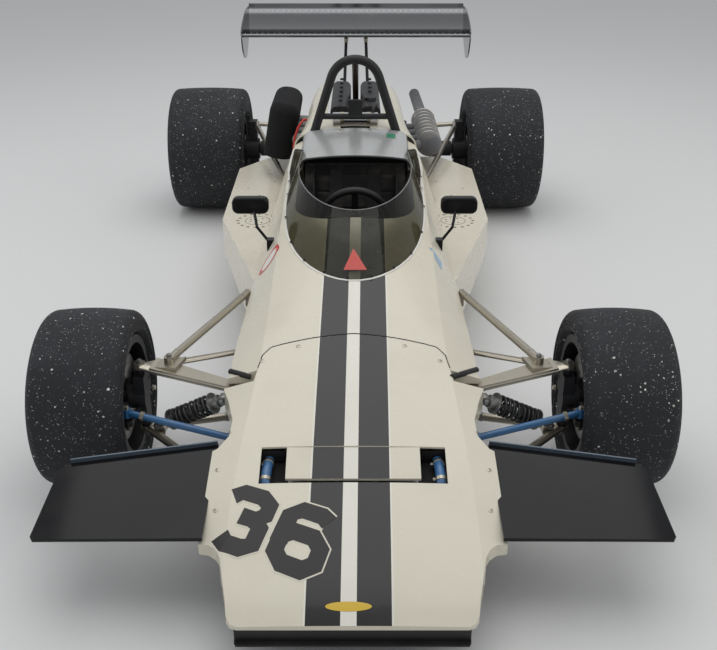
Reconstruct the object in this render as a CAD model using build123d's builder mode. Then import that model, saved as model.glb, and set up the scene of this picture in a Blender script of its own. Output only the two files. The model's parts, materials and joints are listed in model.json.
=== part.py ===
from build123d import *
import os

# Open wheel racing car, lengths in millimetres.
# The nose points along -Y, +X is the car's left and +Z is up.
# The origin is on the ground, below the middle of the car's length.

# Wheelbase, tracks and tyres
wheelbase = 2450
front_axle_y = -1110
rear_axle_y = front_axle_y + wheelbase
front_wheel_x = 739
rear_wheel_x = 738
front_tyre_radius = 254
front_tyre_width = 256
rear_tyre_radius = 305
rear_tyre_width = 370
upright_x = (505, 545)
tyre_wall = 9
bead_radius = 162
rim_wall = 6
rim_lip = 178
axle_radius = 17.5
running_fit = 0.08
seat_gap = 0.3

# Body shell
shell_wall = 5
nose_front_y = -1885
nose_base_z = 112
nose_half_width = 281
seam_y = -1016
cowl_front_y = -1150
cowl_rear_y = 335
tub_half_width = 330
footbox_half_width = 300
footbox_front_y = -1540
tub_floor_z = 70
tub_top_z = 318
tub_rear_y = 385
tub_wall = 40
footbox_wall = 25
floor_thickness = 16
dash_y = -405
dash_z = 545

# Front suspension, on the left side
kingpin_x = 605
upper_ball_z = 355
lower_ball_z = 150
ball_radius = 16
ball_height = 18
upper_inner_z = 298
lower_inner_z = 128
arm_reach = 105
eye_x = 628
eye_z = 262
rack_y = -1255
rack_z = 205
rack_end_x = 335
rack_radius = 11
rack_hole_radius = 17
tie_rod_radius = 10

# Steering column
wheel_centre_y = -165
wheel_centre_z = 453
wheel_rim_radius = 120
column_end_y = -1215
column_end_z = 232

# Roll hoop
hoop_y = 355
hoop_tube = 18
hoop_arch_radius = 100
hoop_top_z = 934

# Engine and gearbox
engine_rear_y = 1040
cam_cover_top_z = 712
valley_z = 565
gearbox_rear_y = 1660
output_x = 130

# Side pods
pod_top_z = 352
pod_edge_z = 215
pod_root_z = 120
pod_corner_x = 530
pod_rear_x = 540

# Wing
wing_half_span = 580
wing_front_y = 1540
wing_front_z = 838
wing_rear_y = 1890
wing_rear_z = 932

os.makedirs("parts", exist_ok=True)


def save(piece, label):
    """Name a finished piece and write its file."""
    piece.label = label
    export_step(piece, f"parts/{label}.step")


def bar(start, end, radius, mode=Mode.ADD):
    """Round bar from one point to another."""
    along = Vector(*end) - Vector(*start)
    with Locations(Plane(origin=start, z_dir=along)):
        Cylinder(radius, along.length, align=(Align.CENTER, Align.CENTER, Align.MIN), mode=mode)


def block(low, high, mode=Mode.ADD):
    """Square block between two opposite corners."""
    size = Vector(*high) - Vector(*low)
    with Locations(low):
        Box(size.X, size.Y, size.Z, align=(Align.MIN, Align.MIN, Align.MIN), mode=mode)


def leg(start, end, width, thickness):
    """Flattened bar from one point to another, its width level with the ground."""
    along = Vector(*end) - Vector(*start)
    across = along.cross(Vector(0, 0, 1))
    with BuildSketch(Plane(origin=start, x_dir=across, z_dir=along)) as section:
        Ellipse(width / 2, thickness / 2)
    extrude(section.sketch, amount=along.length)


def spring_unit(bottom, top):
    """Damper with a coil spring round it, from its lower eye to its upper one."""
    along = Vector(*top) - Vector(*bottom)
    length = along.length
    profile = [(0, 8), (7, 8), (7, 0.2 * length), (31, 0.2 * length), (31, 0.2 * length + 5)]
    for turn in range(spring_turns):
        low = 0.2 * length + 5 + turn * (0.62 * length / spring_turns)
        profile += [(23, low + 2), (29, low + 0.31 * length / spring_turns)]
    profile += [(31, 0.84 * length), (31, 0.84 * length + 5), (19, 0.84 * length + 5)]
    profile += [(19, length - 8), (0, length - 8)]
    with BuildPart() as unit:
        with BuildSketch(Plane.XZ):
            Polygon(*profile, align=None)
        revolve(axis=Axis.Z)
        for height in (0, length):
            with Locations(Location((0, 0, height), (90, 0, 0))):
                Cylinder(14, 22)
    with Locations(Plane(origin=bottom, z_dir=along)):
        add(unit.part)


# Upper body: crowned cross sections from the nose lip to the roll hoop
# columns: station, waist half width, waist height, shoulder half width, shoulder height, crown height
body_sections = [
    (nose_front_y - 10, 368, 100, 300, 112, 118),
    (nose_front_y + 182, 367, 200, 296, 213, 217),
    (-1404, 364, 288, 284, 304, 311),
    (-1110, 354, 336, 266, 368, 384),
    (-830, 349, 344, 260, 412, 449),
    (-405, 345, 348, 258, 493, 545),
    (-100, 342, 350, 257, 540, 606),
    (350, 338, 350, 241, 606, 664),
]


def crown_height(station):
    """Height of the upper body's top line at a station along the car."""
    for near, far in zip(body_sections, body_sections[1:]):
        if station <= far[0]:
            share = (station - near[0]) / (far[0] - near[0])
            return near[-1] + share * (far[-1] - near[-1])


def body_form(inset, base_z):
    """Solid of the upper body, made smaller by the inset."""
    sections = []
    for station, waist, waist_z, shoulder, shoulder_z, crown_z in body_sections:
        with BuildSketch(Plane.XZ.offset(-station)) as section:
            with BuildLine():
                Polyline(
                    (shoulder - inset, shoulder_z - inset),
                    (waist - inset, waist_z - inset / 2),
                    (waist - inset, base_z),
                    (inset - waist, base_z),
                    (inset - waist, waist_z - inset / 2),
                    (inset - shoulder, shoulder_z - inset),
                )
                ThreePointArc(
                    (inset - shoulder, shoulder_z - inset),
                    (0, crown_z - inset),
                    (shoulder - inset, shoulder_z - inset),
                )
            make_face()
        sections.append(section.sketch)
    with BuildPart() as form:
        loft(sections)
    return form.part


def nose_outline(inset):
    """Plan of the nose, seen from above, made smaller by the inset."""
    with BuildSketch() as plan:
        with BuildLine():
            right_side = Polyline(
                (0, nose_front_y + inset),
                (nose_half_width - 24 - inset / 2, nose_front_y + inset),
                (nose_half_width - 9 - 0.8 * inset, nose_front_y + 6 + 0.7 * inset),
                (nose_half_width - 0.9 * inset, nose_front_y + 22 + 0.3 * inset),
                (285 - inset, nose_front_y + 49),
                (301 - inset, nose_front_y + 118),
                (306 - 0.9 * inset, nose_front_y + 142 + 0.4 * inset),
                (318 - 0.7 * inset, nose_front_y + 163 + 0.7 * inset),
                (336 - 0.4 * inset, nose_front_y + 177 + 0.9 * inset),
                (361 - inset, nose_front_y + 182 + inset),
                (359 - inset, -1435 - inset / 2),
                (347 - inset, -1430 - inset),
                (321 - inset, -1392),
                (318 - inset, -1334),
                (339 - inset, -1253),
                (359 - inset, -1194 - inset),
                (275 - inset, -1194 - inset),
                (258 - inset, -1085),
                (236 - inset, -1053 - inset),
            )
            far_edge = ThreePointArc(
                right_side @ 1, (110, seam_y - 12 - inset), (0, seam_y - inset)
            )
            mirror(about=Plane.YZ)
        make_face()
    return plan.sketch


def cowl_outline(inset):
    """Plan of the cockpit cowl, seen from above, made smaller by the inset."""
    with BuildSketch() as plan:
        with BuildLine():
            Polyline(
                (0, cowl_front_y + inset),
                (350 - inset, cowl_front_y + inset),
                (345 - inset, -600),
                (343 - inset, -170),
                (338.5 - inset, cowl_rear_y - inset),
                (0, cowl_rear_y - inset),
            )
            mirror(about=Plane.YZ)
        make_face()
    return plan.sketch


outer_form = body_form(0, 40)
inner_form = body_form(shell_wall, 30)

# Tub: the hollow chassis that holds the driver, roofed over the pedals
roof_thickness = 10
roof_rear_y = -960
bulkhead_front_y = tub_rear_y - 50
with BuildPart() as tub_form:
    with BuildSketch(Plane.YZ.offset(-tub_half_width)):
        with BuildLine():
            Polyline(
                (footbox_front_y, tub_floor_z),
                (footbox_front_y, 225),
                (-1200, 300),
                (-1040, tub_top_z),
                (tub_rear_y, tub_top_z),
                (tub_rear_y, tub_floor_z),
                close=True,
            )
        make_face()
    extrude(amount=2 * tub_half_width)
    with BuildSketch():
        with BuildLine():
            Polyline(
                (0, footbox_front_y),
                (footbox_half_width - 30, footbox_front_y),
                (footbox_half_width, -1230),
                (tub_half_width, -1175),
                (tub_half_width, tub_rear_y),
                (0, tub_rear_y),
            )
            mirror(about=Plane.YZ)
        make_face()
    extrude(amount=600, mode=Mode.INTERSECT)
    chamfer(tub_form.edges().filter_by(Axis.Y).group_by(Axis.Z)[0], 36)
with BuildPart() as tub_inside:
    with BuildSketch(Plane.YZ.offset(-tub_half_width)):
        with BuildLine():
            Polyline(
                (footbox_front_y + 12, tub_floor_z + floor_thickness),
                (footbox_front_y + 12, 225 - roof_thickness),
                (-1200, 300 - roof_thickness),
                (roof_rear_y, tub_top_z - roof_thickness),
                (roof_rear_y, 900),
                (bulkhead_front_y, 900),
                (bulkhead_front_y, tub_floor_z + floor_thickness),
                close=True,
            )
        make_face()
    extrude(amount=2 * tub_half_width)
    with BuildSketch():
        with BuildLine():
            Polyline(
                (0, footbox_front_y),
                (footbox_half_width - 30 - footbox_wall, footbox_front_y),
                (footbox_half_width - footbox_wall, -1230),
                (tub_half_width - tub_wall, -1175),
                (tub_half_width - tub_wall, tub_rear_y),
                (0, tub_rear_y),
            )
            mirror(about=Plane.YZ)
        make_face()
    extrude(amount=900, mode=Mode.INTERSECT)
with BuildPart() as tub:
    add(tub_form.part)
    add(tub_inside.part, mode=Mode.SUBTRACT)
    bar((-rack_end_x, rack_y, rack_z), (rack_end_x, rack_y, rack_z), rack_hole_radius, mode=Mode.SUBTRACT)
save(tub.part, "tub")

# Nose cowl: a hollow wedge with a sunk outlet for air on its top
vent_half_width = 232
vent_front_y = -1552
vent_rear_y = -1440
ramp_half_width = 168
ramp_rear_y = vent_rear_y + 4
ramp_front_y = vent_front_y + 24
ramp_rear_z = crown_height(ramp_rear_y) - 1.94
ramp_front_z = crown_height(ramp_front_y) - 9.017
ramp_wall = 6
flank_inner_x = 308
flank_low_z = 172
with BuildPart() as nose_form:
    extrude(nose_outline(0), amount=600)
    add(outer_form, mode=Mode.INTERSECT)
    block((-500, nose_front_y - 20, 0), (500, seam_y + 20, nose_base_z), mode=Mode.SUBTRACT)
    block((-500, -1425, 0), (500, seam_y + 20, 262), mode=Mode.SUBTRACT)
    with BuildSketch(Plane.YZ.offset(-500)):
        Polygon(
            (nose_front_y + 50, 0),
            (nose_front_y + 50, flank_low_z - 20),
            (nose_front_y + 182, flank_low_z),
            (-1425, 255),
            (-1425, 0),
            align=None,
        )
    extrude(amount=500 - flank_inner_x, mode=Mode.SUBTRACT)
    with BuildSketch(Plane.YZ.offset(flank_inner_x)):
        Polygon(
            (nose_front_y + 50, 0),
            (nose_front_y + 50, flank_low_z - 20),
            (nose_front_y + 182, flank_low_z),
            (-1425, 255),
            (-1425, 0),
            align=None,
        )
    extrude(amount=500 - flank_inner_x, mode=Mode.SUBTRACT)
with BuildPart() as nose_inside:
    extrude(nose_outline(shell_wall), amount=600)
    add(inner_form, mode=Mode.INTERSECT)
with BuildPart() as nose_cowl:
    add(nose_form.part)
    add(nose_inside.part, mode=Mode.SUBTRACT)
    add(tub_form.part, mode=Mode.SUBTRACT)
    block((-230, -1198, 0), (230, seam_y + 20, tub_top_z), mode=Mode.SUBTRACT)
    block(
        (-vent_half_width, vent_front_y, nose_base_z),
        (vent_half_width, vent_rear_y, 400),
        mode=Mode.SUBTRACT,
    )
    with BuildSketch(Plane.YZ.offset(-ramp_half_width)):
        with BuildLine():
            Polyline(
                (ramp_rear_y, ramp_rear_z),
                (ramp_rear_y, ramp_rear_z - ramp_wall),
                (ramp_front_y, ramp_front_z - ramp_wall),
                (ramp_front_y, ramp_front_z),
                close=True,
            )
        make_face()
    extrude(amount=2 * ramp_half_width)
save(nose_cowl.part, "nose_cowl")

# Splitter: a thin floor below the nose, with the air dam that closes it in front
splitter_z = 77
splitter_front_y = nose_front_y - 14
splitter_half_width = 290
dam_half_width = 262
with BuildPart() as splitter:
    with BuildSketch(Plane.XY.offset(splitter_z)):
        with BuildLine():
            Polyline(
                (0, splitter_front_y),
                (dam_half_width - 4, splitter_front_y),
                (dam_half_width, splitter_front_y + 8),
                (splitter_half_width, footbox_front_y - 60),
                (splitter_half_width, footbox_front_y),
                (0, footbox_front_y),
            )
            mirror(about=Plane.YZ)
        make_face()
    extrude(amount=4)
    block(
        (-dam_half_width, nose_front_y, splitter_z + 4),
        (dam_half_width, nose_front_y + shell_wall, nose_base_z),
    )
save(splitter.part, "nose_splitter")

# Nose fins: flat plates that rise towards the rear, with a small lip on the trailing edge
fin_root_x = 350
fin_tip_x = 750
fin_front_y = nose_front_y + 179
fin_front_z = 214
fin_rear_root = 322
fin_rear_tip = 251
fin_thickness = 9
fin_slope = 0.1544
with BuildPart() as fins:
    with BuildSketch(Plane((0, fin_front_y, fin_front_z), x_dir=(1, 0, 0), z_dir=(0, -fin_slope, 1))):
        with BuildLine():
            Polyline(
                (fin_root_x, 0),
                (fin_tip_x - 6, -4),
                (fin_tip_x, 4),
                (fin_tip_x - 10, fin_rear_tip - 24),
                (fin_tip_x - 34, fin_rear_tip + 2),
                (fin_root_x, fin_rear_root),
                close=True,
            )
        make_face()
    extrude(amount=fin_thickness)
    lip_edge = fins.faces().sort_by(Axis.Y)[-1]
    extrude(lip_edge, amount=4)
    add(nose_form.part, mode=Mode.SUBTRACT)
    mirror(about=Plane.YZ)
save(fins.part, "nose_fins")

# Cockpit cowl: the domed panel from the seam back to the roll hoop, open over the driver
opening_half_width = 212
opening_radius = 150
deck_front_y = 62
cowl_flange_x = 296
with BuildPart() as cowl_inside:
    extrude(cowl_outline(shell_wall), amount=900)
    add(inner_form, mode=Mode.INTERSECT)
    for side in (-1, 1):
        with Locations((side * (cowl_flange_x + 50), 0, 0)):
            Box(100, 4000, 2 * (tub_top_z + shell_wall), mode=Mode.SUBTRACT)
with BuildPart() as cockpit_cowl:
    extrude(cowl_outline(0), amount=900)
    add(outer_form, mode=Mode.INTERSECT)
    add(cowl_inside.part, mode=Mode.SUBTRACT)
    extrude(offset(nose_outline(0), amount=1, mode=Mode.PRIVATE), amount=900, mode=Mode.SUBTRACT)
    block((-500, cowl_front_y - 5, 0), (500, cowl_rear_y + 5, tub_top_z), mode=Mode.SUBTRACT)
    with BuildSketch():
        with Locations((0, (dash_y + cowl_rear_y + 40) / 2)):
            RectangleRounded(2 * opening_half_width, cowl_rear_y + 40 - dash_y, opening_radius)
    extrude(amount=900, mode=Mode.SUBTRACT)
    block(
        (-opening_half_width, deck_front_y, 0),
        (opening_half_width, cowl_rear_y + 5, 900),
        mode=Mode.SUBTRACT,
    )
save(cockpit_cowl.part, "cockpit_cowl")

# Windscreen: a clear sheet that wraps round the front of the cockpit and stands on the cowl
# columns: half width, length of the curved front, start of the straight sides, rear end, height, slope
screen_wall = 3
screen_rings = [
    (259, 616, -215, 330, 430, 0.131),
    (210, 462, -26, 112, 600, 0.056),
]
with BuildPart() as windscreen:
    for half, length, middle, rear, low_z, slope in screen_rings:
        front = middle - length
        inner = half - screen_wall
        side_end = rear - front
        with BuildSketch(Plane((0, front, low_z), x_dir=(1, 0, 0), z_dir=(0, -slope, 1))):
            with BuildLine():
                Polyline((half, length), (half - 8, side_end), (inner - 8, side_end), (inner, length))
                EllipticalCenterArc((0, length), inner, length - 2 * screen_wall, 180, arc_size=180)
                Polyline((-inner, length), (8 - inner, side_end), (8 - half, side_end), (-half, length))
                EllipticalCenterArc((0, length), half, length, 180, arc_size=180)
            make_face()
    loft()
    add(outer_form, mode=Mode.SUBTRACT)
save(windscreen.part, "windscreen")

# Head fairing: the silver deck behind the driver's head, open towards the driver
# columns: station, height of the rounded corners, height in the middle
deck_sections = [
    (deck_front_y + 0.5, 619, 630),
    (cowl_rear_y - 0.5, 653, 666),
]
deck_low_z = 572
deck_wall = 8
deck_corner = 34


def deck_form(inset):
    """Solid of the deck, made smaller by the inset."""
    half = opening_half_width - inset
    corner = deck_corner - inset
    bend = corner * (1 - 0.5 ** 0.5)
    sections = []
    for station, edge_z, crown_z in deck_sections:
        top = edge_z - inset
        with BuildSketch(Plane.XZ.offset(-station)) as section:
            with BuildLine():
                Polyline(
                    (half, top - corner),
                    (half, deck_low_z - inset),
                    (-half, deck_low_z - inset),
                    (-half, top - corner),
                )
                ThreePointArc((-half, top - corner), (bend - half, top - bend), (corner - half, top))
                ThreePointArc((corner - half, top), (0, crown_z - inset), (half - corner, top))
                ThreePointArc((half - corner, top), (half - bend, top - bend), (half, top - corner))
            make_face()
        sections.append(section.sketch)
    with BuildPart() as form:
        loft(sections)
    return form.part


with BuildPart() as head_fairing:
    add(deck_form(0))
    with BuildPart(mode=Mode.SUBTRACT):
        add(deck_form(deck_wall))
        block((-500, cowl_rear_y - deck_wall, 0), (500, cowl_rear_y + 5, 900), mode=Mode.SUBTRACT)
save(head_fairing.part, "head_fairing")

# Dash panel, with the tube that the steering column passes through
column_slope = (wheel_centre_z - column_end_z) / (wheel_centre_y - column_end_y)
column_radius = 9
dash_thickness = 4
dash_low_z = 375


def column_point(station):
    """Point on the steering column's line at a station along the car."""
    return (0, station, wheel_centre_z + (station - wheel_centre_y) * column_slope)


with BuildPart() as dash_panel:
    block((-400, dash_y - 12, tub_top_z), (400, dash_y - 12 + dash_thickness, 700))
    block((-200, dash_y - 20, 0), (200, dash_y, dash_low_z), mode=Mode.SUBTRACT)
    bar(column_point(dash_y - 50), column_point(dash_y + 30), column_radius + 11)
    bar(column_point(dash_y - 60), column_point(dash_y + 40), column_radius + running_fit, mode=Mode.SUBTRACT)
    add(cowl_inside.part, mode=Mode.INTERSECT)
save(dash_panel.part, "dash_panel")

# Seat: a shell with raised sides, and the two belts that lie on its back
seat_half_width = 195
seat_side = 34
seat_floor_z = tub_floor_z + floor_thickness
back_low = (62, 125)
back_high = (146, 568)
back_slope = (back_high[0] - back_low[0]) / (back_high[1] - back_low[1])
with BuildPart() as seat:
    with BuildSketch(Plane.YZ.offset(-seat_half_width)):
        with BuildLine():
            Polyline(
                (-430, seat_floor_z),
                (-430, 185),
                (-60, 175),
                (10, 260),
                (78, 500),
                (back_high[0] - 20, back_high[1]),
                (back_high[0] + 26, back_high[1]),
                (back_low[0] + 50, seat_floor_z),
                close=True,
            )
        make_face()
    extrude(amount=2 * seat_half_width)
    with BuildSketch(Plane.YZ.offset(seat_side - seat_half_width)):
        with BuildLine():
            Polyline(
                (-440, 300),
                (-440, 122),
                (0, 100),
                back_low,
                back_high,
                (back_high[0], 700),
                (-100, 700),
                close=True,
            )
        make_face()
    extrude(amount=2 * (seat_half_width - seat_side), mode=Mode.SUBTRACT)
save(seat.part, "seat")

belt_x = 75
belt_width = 50
belt_thickness = 3
with BuildPart() as harness:
    for side in (-1, 1):
        with BuildSketch(Plane.YZ.offset(side * belt_x - belt_width / 2)):
            with BuildLine():
                Polyline(
                    (back_low[0] + 40 * back_slope, back_low[1] + 40),
                    (back_high[0] - 20 * back_slope, back_high[1] - 20),
                    (back_high[0] - 20 * back_slope - belt_thickness, back_high[1] - 20),
                    (back_low[0] + 40 * back_slope - belt_thickness, back_low[1] + 40),
                    close=True,
                )
            make_face()
        extrude(amount=belt_width)
save(harness.part, "harness")

# Engine: crankcase, head with a valley between the camshafts, and its two cam covers
crankcase_half = 120
head_half = 112
head_front_y = tub_rear_y + 115
head_top_z = 600
valley_half = 18
crankcase_top_z = 330
sump_z = 85
with BuildPart() as engine:
    block((-crankcase_half, tub_rear_y, sump_z), (crankcase_half, engine_rear_y, crankcase_top_z))
    block((-head_half, head_front_y, crankcase_top_z), (head_half, engine_rear_y, head_top_z))
    block((-90, head_front_y - 30, sump_z + 40), (90, head_front_y, head_top_z - 30))
    block(
        (-valley_half, head_front_y, valley_z),
        (valley_half, engine_rear_y, head_top_z),
        mode=Mode.SUBTRACT,
    )
    chamfer(engine.edges().filter_by(Axis.Y).group_by(Axis.Z)[0], 40)
    for plug in range(4):
        with Locations((0, head_front_y + 70 + plug * 115, valley_z + 15)):
            Cylinder(11, 40)
    block((-14, engine_rear_y - 30, valley_z), (14, engine_rear_y, head_top_z))
save(engine.part, "engine_block")

cover_half = 42
cover_x = valley_half + cover_half + 4
cover_front_y = head_front_y + 10
cover_length = engine_rear_y - cover_front_y
with BuildPart() as cam_covers:
    with BuildSketch(Plane.XZ.offset(-cover_front_y)):
        with Locations((-cover_x, head_top_z), (cover_x, head_top_z)):
            Rectangle(2 * cover_half, cam_cover_top_z - head_top_z, align=(Align.CENTER, Align.MIN))
    extrude(amount=-cover_length)
    fillet(cam_covers.edges().filter_by(Axis.Y).group_by(Axis.Z)[-1], 26)
    fillet(cam_covers.edges().group_by(Axis.Y)[-1].filter_by(Axis.Z), 15)
    with Locations((cover_x, cover_front_y + 130, cam_cover_top_z)):
        Cylinder(26, 24)
save(cam_covers.part, "cam_covers")

# Roll hoop, with its cross bar, head rest block and rear brace
hoop_tangent_x = 0.95 * hoop_arch_radius
hoop_tangent_z = hoop_top_z - hoop_arch_radius + 0.312 * hoop_arch_radius
hoop_lean = 0.3236
hoop_foot_x = hoop_tangent_x + hoop_lean * (hoop_tangent_z - tub_top_z)
crossbar_z = 708
crossbar_x = hoop_tangent_x + hoop_lean * (hoop_tangent_z - crossbar_z)
brace_radius = 13
brace_foot = (0, engine_rear_y - 14, 592)
with BuildPart() as roll_hoop:
    with BuildLine() as hoop_path:
        legs = Polyline((-hoop_foot_x, hoop_y, tub_top_z), (-hoop_tangent_x, hoop_y, hoop_tangent_z))
        ThreePointArc(
            (-hoop_tangent_x, hoop_y, hoop_tangent_z),
            (0, hoop_y, hoop_top_z),
            (hoop_tangent_x, hoop_y, hoop_tangent_z),
        )
        Line((hoop_tangent_x, hoop_y, hoop_tangent_z), (hoop_foot_x, hoop_y, tub_top_z))
    with BuildSketch(Plane(origin=hoop_path.line @ 0, z_dir=hoop_path.line % 0)):
        Circle(hoop_tube)
    sweep()
    bar((-crossbar_x, hoop_y, crossbar_z), (crossbar_x, hoop_y, crossbar_z), 12)
    block((-28, hoop_y - 11, crossbar_z), (28, hoop_y + 11, crossbar_z + 67))
    bar((0, hoop_y, hoop_top_z - 9), brace_foot, brace_radius)
    for side in (-1, 1):
        with Locations((side * hoop_foot_x, hoop_y, tub_top_z + 5)):
            Box(70, 2 * hoop_tube, 10)
    block((-600, hoop_y - 100, 0), (600, hoop_y + 100, tub_top_z), mode=Mode.SUBTRACT)
    add(engine.part, mode=Mode.SUBTRACT)
save(roll_hoop.part, "roll_hoop")

# Gearbox: bell housing, case with the final drive, and the drive flanges
bell_rear_y = 1190
bell_height = 330
bell_centre_z = 265
case_half = 95
case_height = 240
case_centre_z = 290
final_drive_radius = 82
with BuildPart() as gearbox:
    with BuildSketch(Plane.XZ.offset(-engine_rear_y)):
        with Locations((0, bell_centre_z)):
            RectangleRounded(2 * crankcase_half, bell_height, 50)
    with BuildSketch(Plane.XZ.offset(-bell_rear_y)):
        with Locations((0, case_centre_z)):
            RectangleRounded(2 * case_half, case_height, 50)
    loft()
    with BuildSketch(Plane.XZ.offset(-bell_rear_y)):
        with Locations((0, case_centre_z)):
            RectangleRounded(2 * case_half, case_height, 50)
    with BuildSketch(Plane.XZ.offset(-gearbox_rear_y)):
        with Locations((0, case_centre_z)):
            RectangleRounded(1.6 * case_half, 0.75 * case_height, 40)
    loft()
    bar(
        (12 - output_x, rear_axle_y, rear_tyre_radius),
        (output_x - 12, rear_axle_y, rear_tyre_radius),
        final_drive_radius,
    )
    bar((-output_x, rear_axle_y, rear_tyre_radius), (output_x, rear_axle_y, rear_tyre_radius), 45)
    for station in (bell_rear_y, 1480):
        with BuildSketch(Plane.XZ.offset(-station - 12)):
            with Locations((0, case_centre_z)):
                RectangleRounded(2 * case_half + 16, case_height + 16, 50)
        extrude(amount=24)
save(gearbox.part, "gearbox")

# Engine cover: a shell open over the cam covers and beside the intake and the exhaust
# columns: station, low half width, side half width, side height, top half width, top height, crown height
cover_sections = [
    (cowl_rear_y + 2, 338, 250, 590, 190, 640, 664),
    (480, 232, 224, 600, 165, 662, 674),
    (1000, 208, 200, 625, 140, 688, 695),
    (1250, 168, 162, 628, 105, 690, 696),
]
cover_slot_half = 118
cover_slot_front_y = 498


def cover_form(inset, base_z):
    """Solid of the engine cover, made smaller by the inset."""
    sections = []
    for station, low, side, side_z, top, top_z, crown_z in cover_sections:
        with BuildSketch(Plane.XZ.offset(-station)) as section:
            with BuildLine():
                middle = ((side + top) / 2 + 12 - inset, (side_z + top_z) / 2 + 12 - inset)
                Polyline(
                    (side - inset, side_z),
                    (low - inset, pod_top_z),
                    (low - inset, base_z),
                    (inset - low, base_z),
                    (inset - low, pod_top_z),
                    (inset - side, side_z),
                )
                ThreePointArc((inset - side, side_z), (-middle[0], middle[1]), (-top, top_z - inset))
                ThreePointArc((-top, top_z - inset), (0, crown_z - inset), (top, top_z - inset))
                ThreePointArc((top, top_z - inset), middle, (side - inset, side_z))
            make_face()
        sections.append(section.sketch)
    with BuildPart() as form:
        loft(sections)
    return form.part


# Rear radius rods, whose upper pair runs past the engine cover
rod_radius = 12
rod_gap = 8
upper_rod = ((tub_half_width - 58, tub_rear_y - 5, 391), (upright_x[0] + 5, 1330, 435))
lower_rod = ((tub_half_width - 20, tub_rear_y - 5, 235), (upright_x[0] + 5, 1330, 205))
rod_plate_width = 26
cover_outer = cover_form(0, 300)
with BuildPart() as engine_cover:
    add(cover_outer)
    add(cover_form(shell_wall, 290), mode=Mode.SUBTRACT)
    block((-500, 0, 0), (500, 2000, pod_top_z), mode=Mode.SUBTRACT)
    block((-cover_slot_half, cover_slot_front_y, 500), (cover_slot_half, 1300, 900), mode=Mode.SUBTRACT)
    block((-400, 610, 455), (400, 1062, 600), mode=Mode.SUBTRACT)
    with BuildSketch(Plane.YZ.offset(-400)):
        with BuildLine():
            Polyline((1060, 800), (1100, 600), (1251, 380), (1300, 300), (1300, 800), close=True)
        make_face()
    extrude(amount=800, mode=Mode.SUBTRACT)
    for side in (-1, 1):
        bar(
            (side * hoop_foot_x, hoop_y, tub_top_z),
            (side * hoop_tangent_x, hoop_y, hoop_tangent_z),
            hoop_tube + 3,
            mode=Mode.SUBTRACT,
        )
        bar(
            (side * upper_rod[0][0], upper_rod[0][1], upper_rod[0][2]),
            (side * upper_rod[1][0], upper_rod[1][1], upper_rod[1][2]),
            rod_radius + rod_gap,
            mode=Mode.SUBTRACT,
        )
        with Locations((side * upper_rod[0][0], tub_rear_y - 5, tub_top_z)):
            Box(rod_plate_width + rod_gap, 26, 200, mode=Mode.SUBTRACT)
    block((-60, cowl_rear_y, 600), (60, cowl_rear_y + 45, 800), mode=Mode.SUBTRACT)
save(engine_cover.part, "engine_cover")

# Side pods: thin shells beside the tub, open to the rear and towards the engine
vent_centre = (tub_half_width + 59, 103)
vent_ring_radius = 77.5
vent_hole_radius = 7
vent_holes = 16


def pod_form(inset):
    """Solid of the left side pod, made smaller by the inset."""
    with BuildPart() as form:
        with BuildSketch() as plan:
            Polygon(
                (tub_half_width, -545),
                (pod_corner_x, 120),
                (pod_rear_x, 817),
                (404, 1019),
                (200, 1019),
                (200, tub_rear_y),
                (tub_half_width, tub_rear_y),
                align=None,
            )
            offset(amount=-inset, kind=Kind.INTERSECTION)
        extrude(amount=pod_top_z - inset)
        with BuildSketch(Plane.XZ.offset(700)):
            Polygon(
                (150, pod_root_z + inset),
                (tub_half_width, pod_root_z + inset),
                (pod_rear_x + 5, pod_edge_z + inset),
                (pod_rear_x + 60, pod_edge_z + inset),
                (pod_rear_x + 60, 500),
                (150, 500),
                align=None,
            )
        extrude(amount=-1900, mode=Mode.INTERSECT)
    return form.part


pod_outer = pod_form(0)
pod_inner = pod_form(shell_wall)
with BuildPart() as pod_left:
    add(pod_outer)
    add(pod_inner, mode=Mode.SUBTRACT)
    add(Pos(-20, 0, 0) * pod_inner, mode=Mode.SUBTRACT)
    add(Pos(-20, 20, 0) * pod_inner, mode=Mode.SUBTRACT)
    with Locations((vent_centre[0], vent_centre[1], pod_top_z)):
        with PolarLocations(vent_ring_radius, vent_holes):
            Cylinder(vent_hole_radius, 4 * shell_wall, mode=Mode.SUBTRACT)
    bar(lower_rod[0], lower_rod[1], rod_radius + rod_gap, mode=Mode.SUBTRACT)
    add(outer_form, mode=Mode.SUBTRACT)
with BuildPart() as pod_right:
    mirror(pod_left.part, about=Plane.YZ)
save(pod_left.part, "side_pod_left")
save(pod_right.part, "side_pod_right")

# Radiators: one core in each pod, below its top panel
with BuildPart() as radiators:
    block((tub_half_width + 20, 290, 212), (tub_half_width + 175, 345, pod_top_z - shell_wall))
    mirror(about=Plane.YZ)
save(radiators.part, "radiators")

# Intake: four trumpets on the right side of the head, inside one fat air filter
filter_foot = (-350, 855, 450)
filter_top = (-306, 855, 685)
filter_length = 430
filter_width = 130
with BuildPart() as intake_filter:
    along = Vector(*filter_top) - Vector(*filter_foot)
    with BuildSketch(Plane(origin=filter_foot, x_dir=(0, 1, 0), z_dir=along)):
        SlotOverall(filter_length, filter_width)
    extrude(amount=along.length)
    fillet(intake_filter.faces().sort_by(Axis.Z)[-1].edges(), 45)
save(intake_filter.part, "intake_filter")
with BuildPart() as intake_trumpets:
    for station in (690, 800, 910, 1020):
        bar((-head_half, station, 520), (-340, station, 535), 23)
    add(intake_filter.part, mode=Mode.SUBTRACT)
    add(engine.part, mode=Mode.SUBTRACT)
save(intake_trumpets.part, "intake_trumpets")

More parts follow.
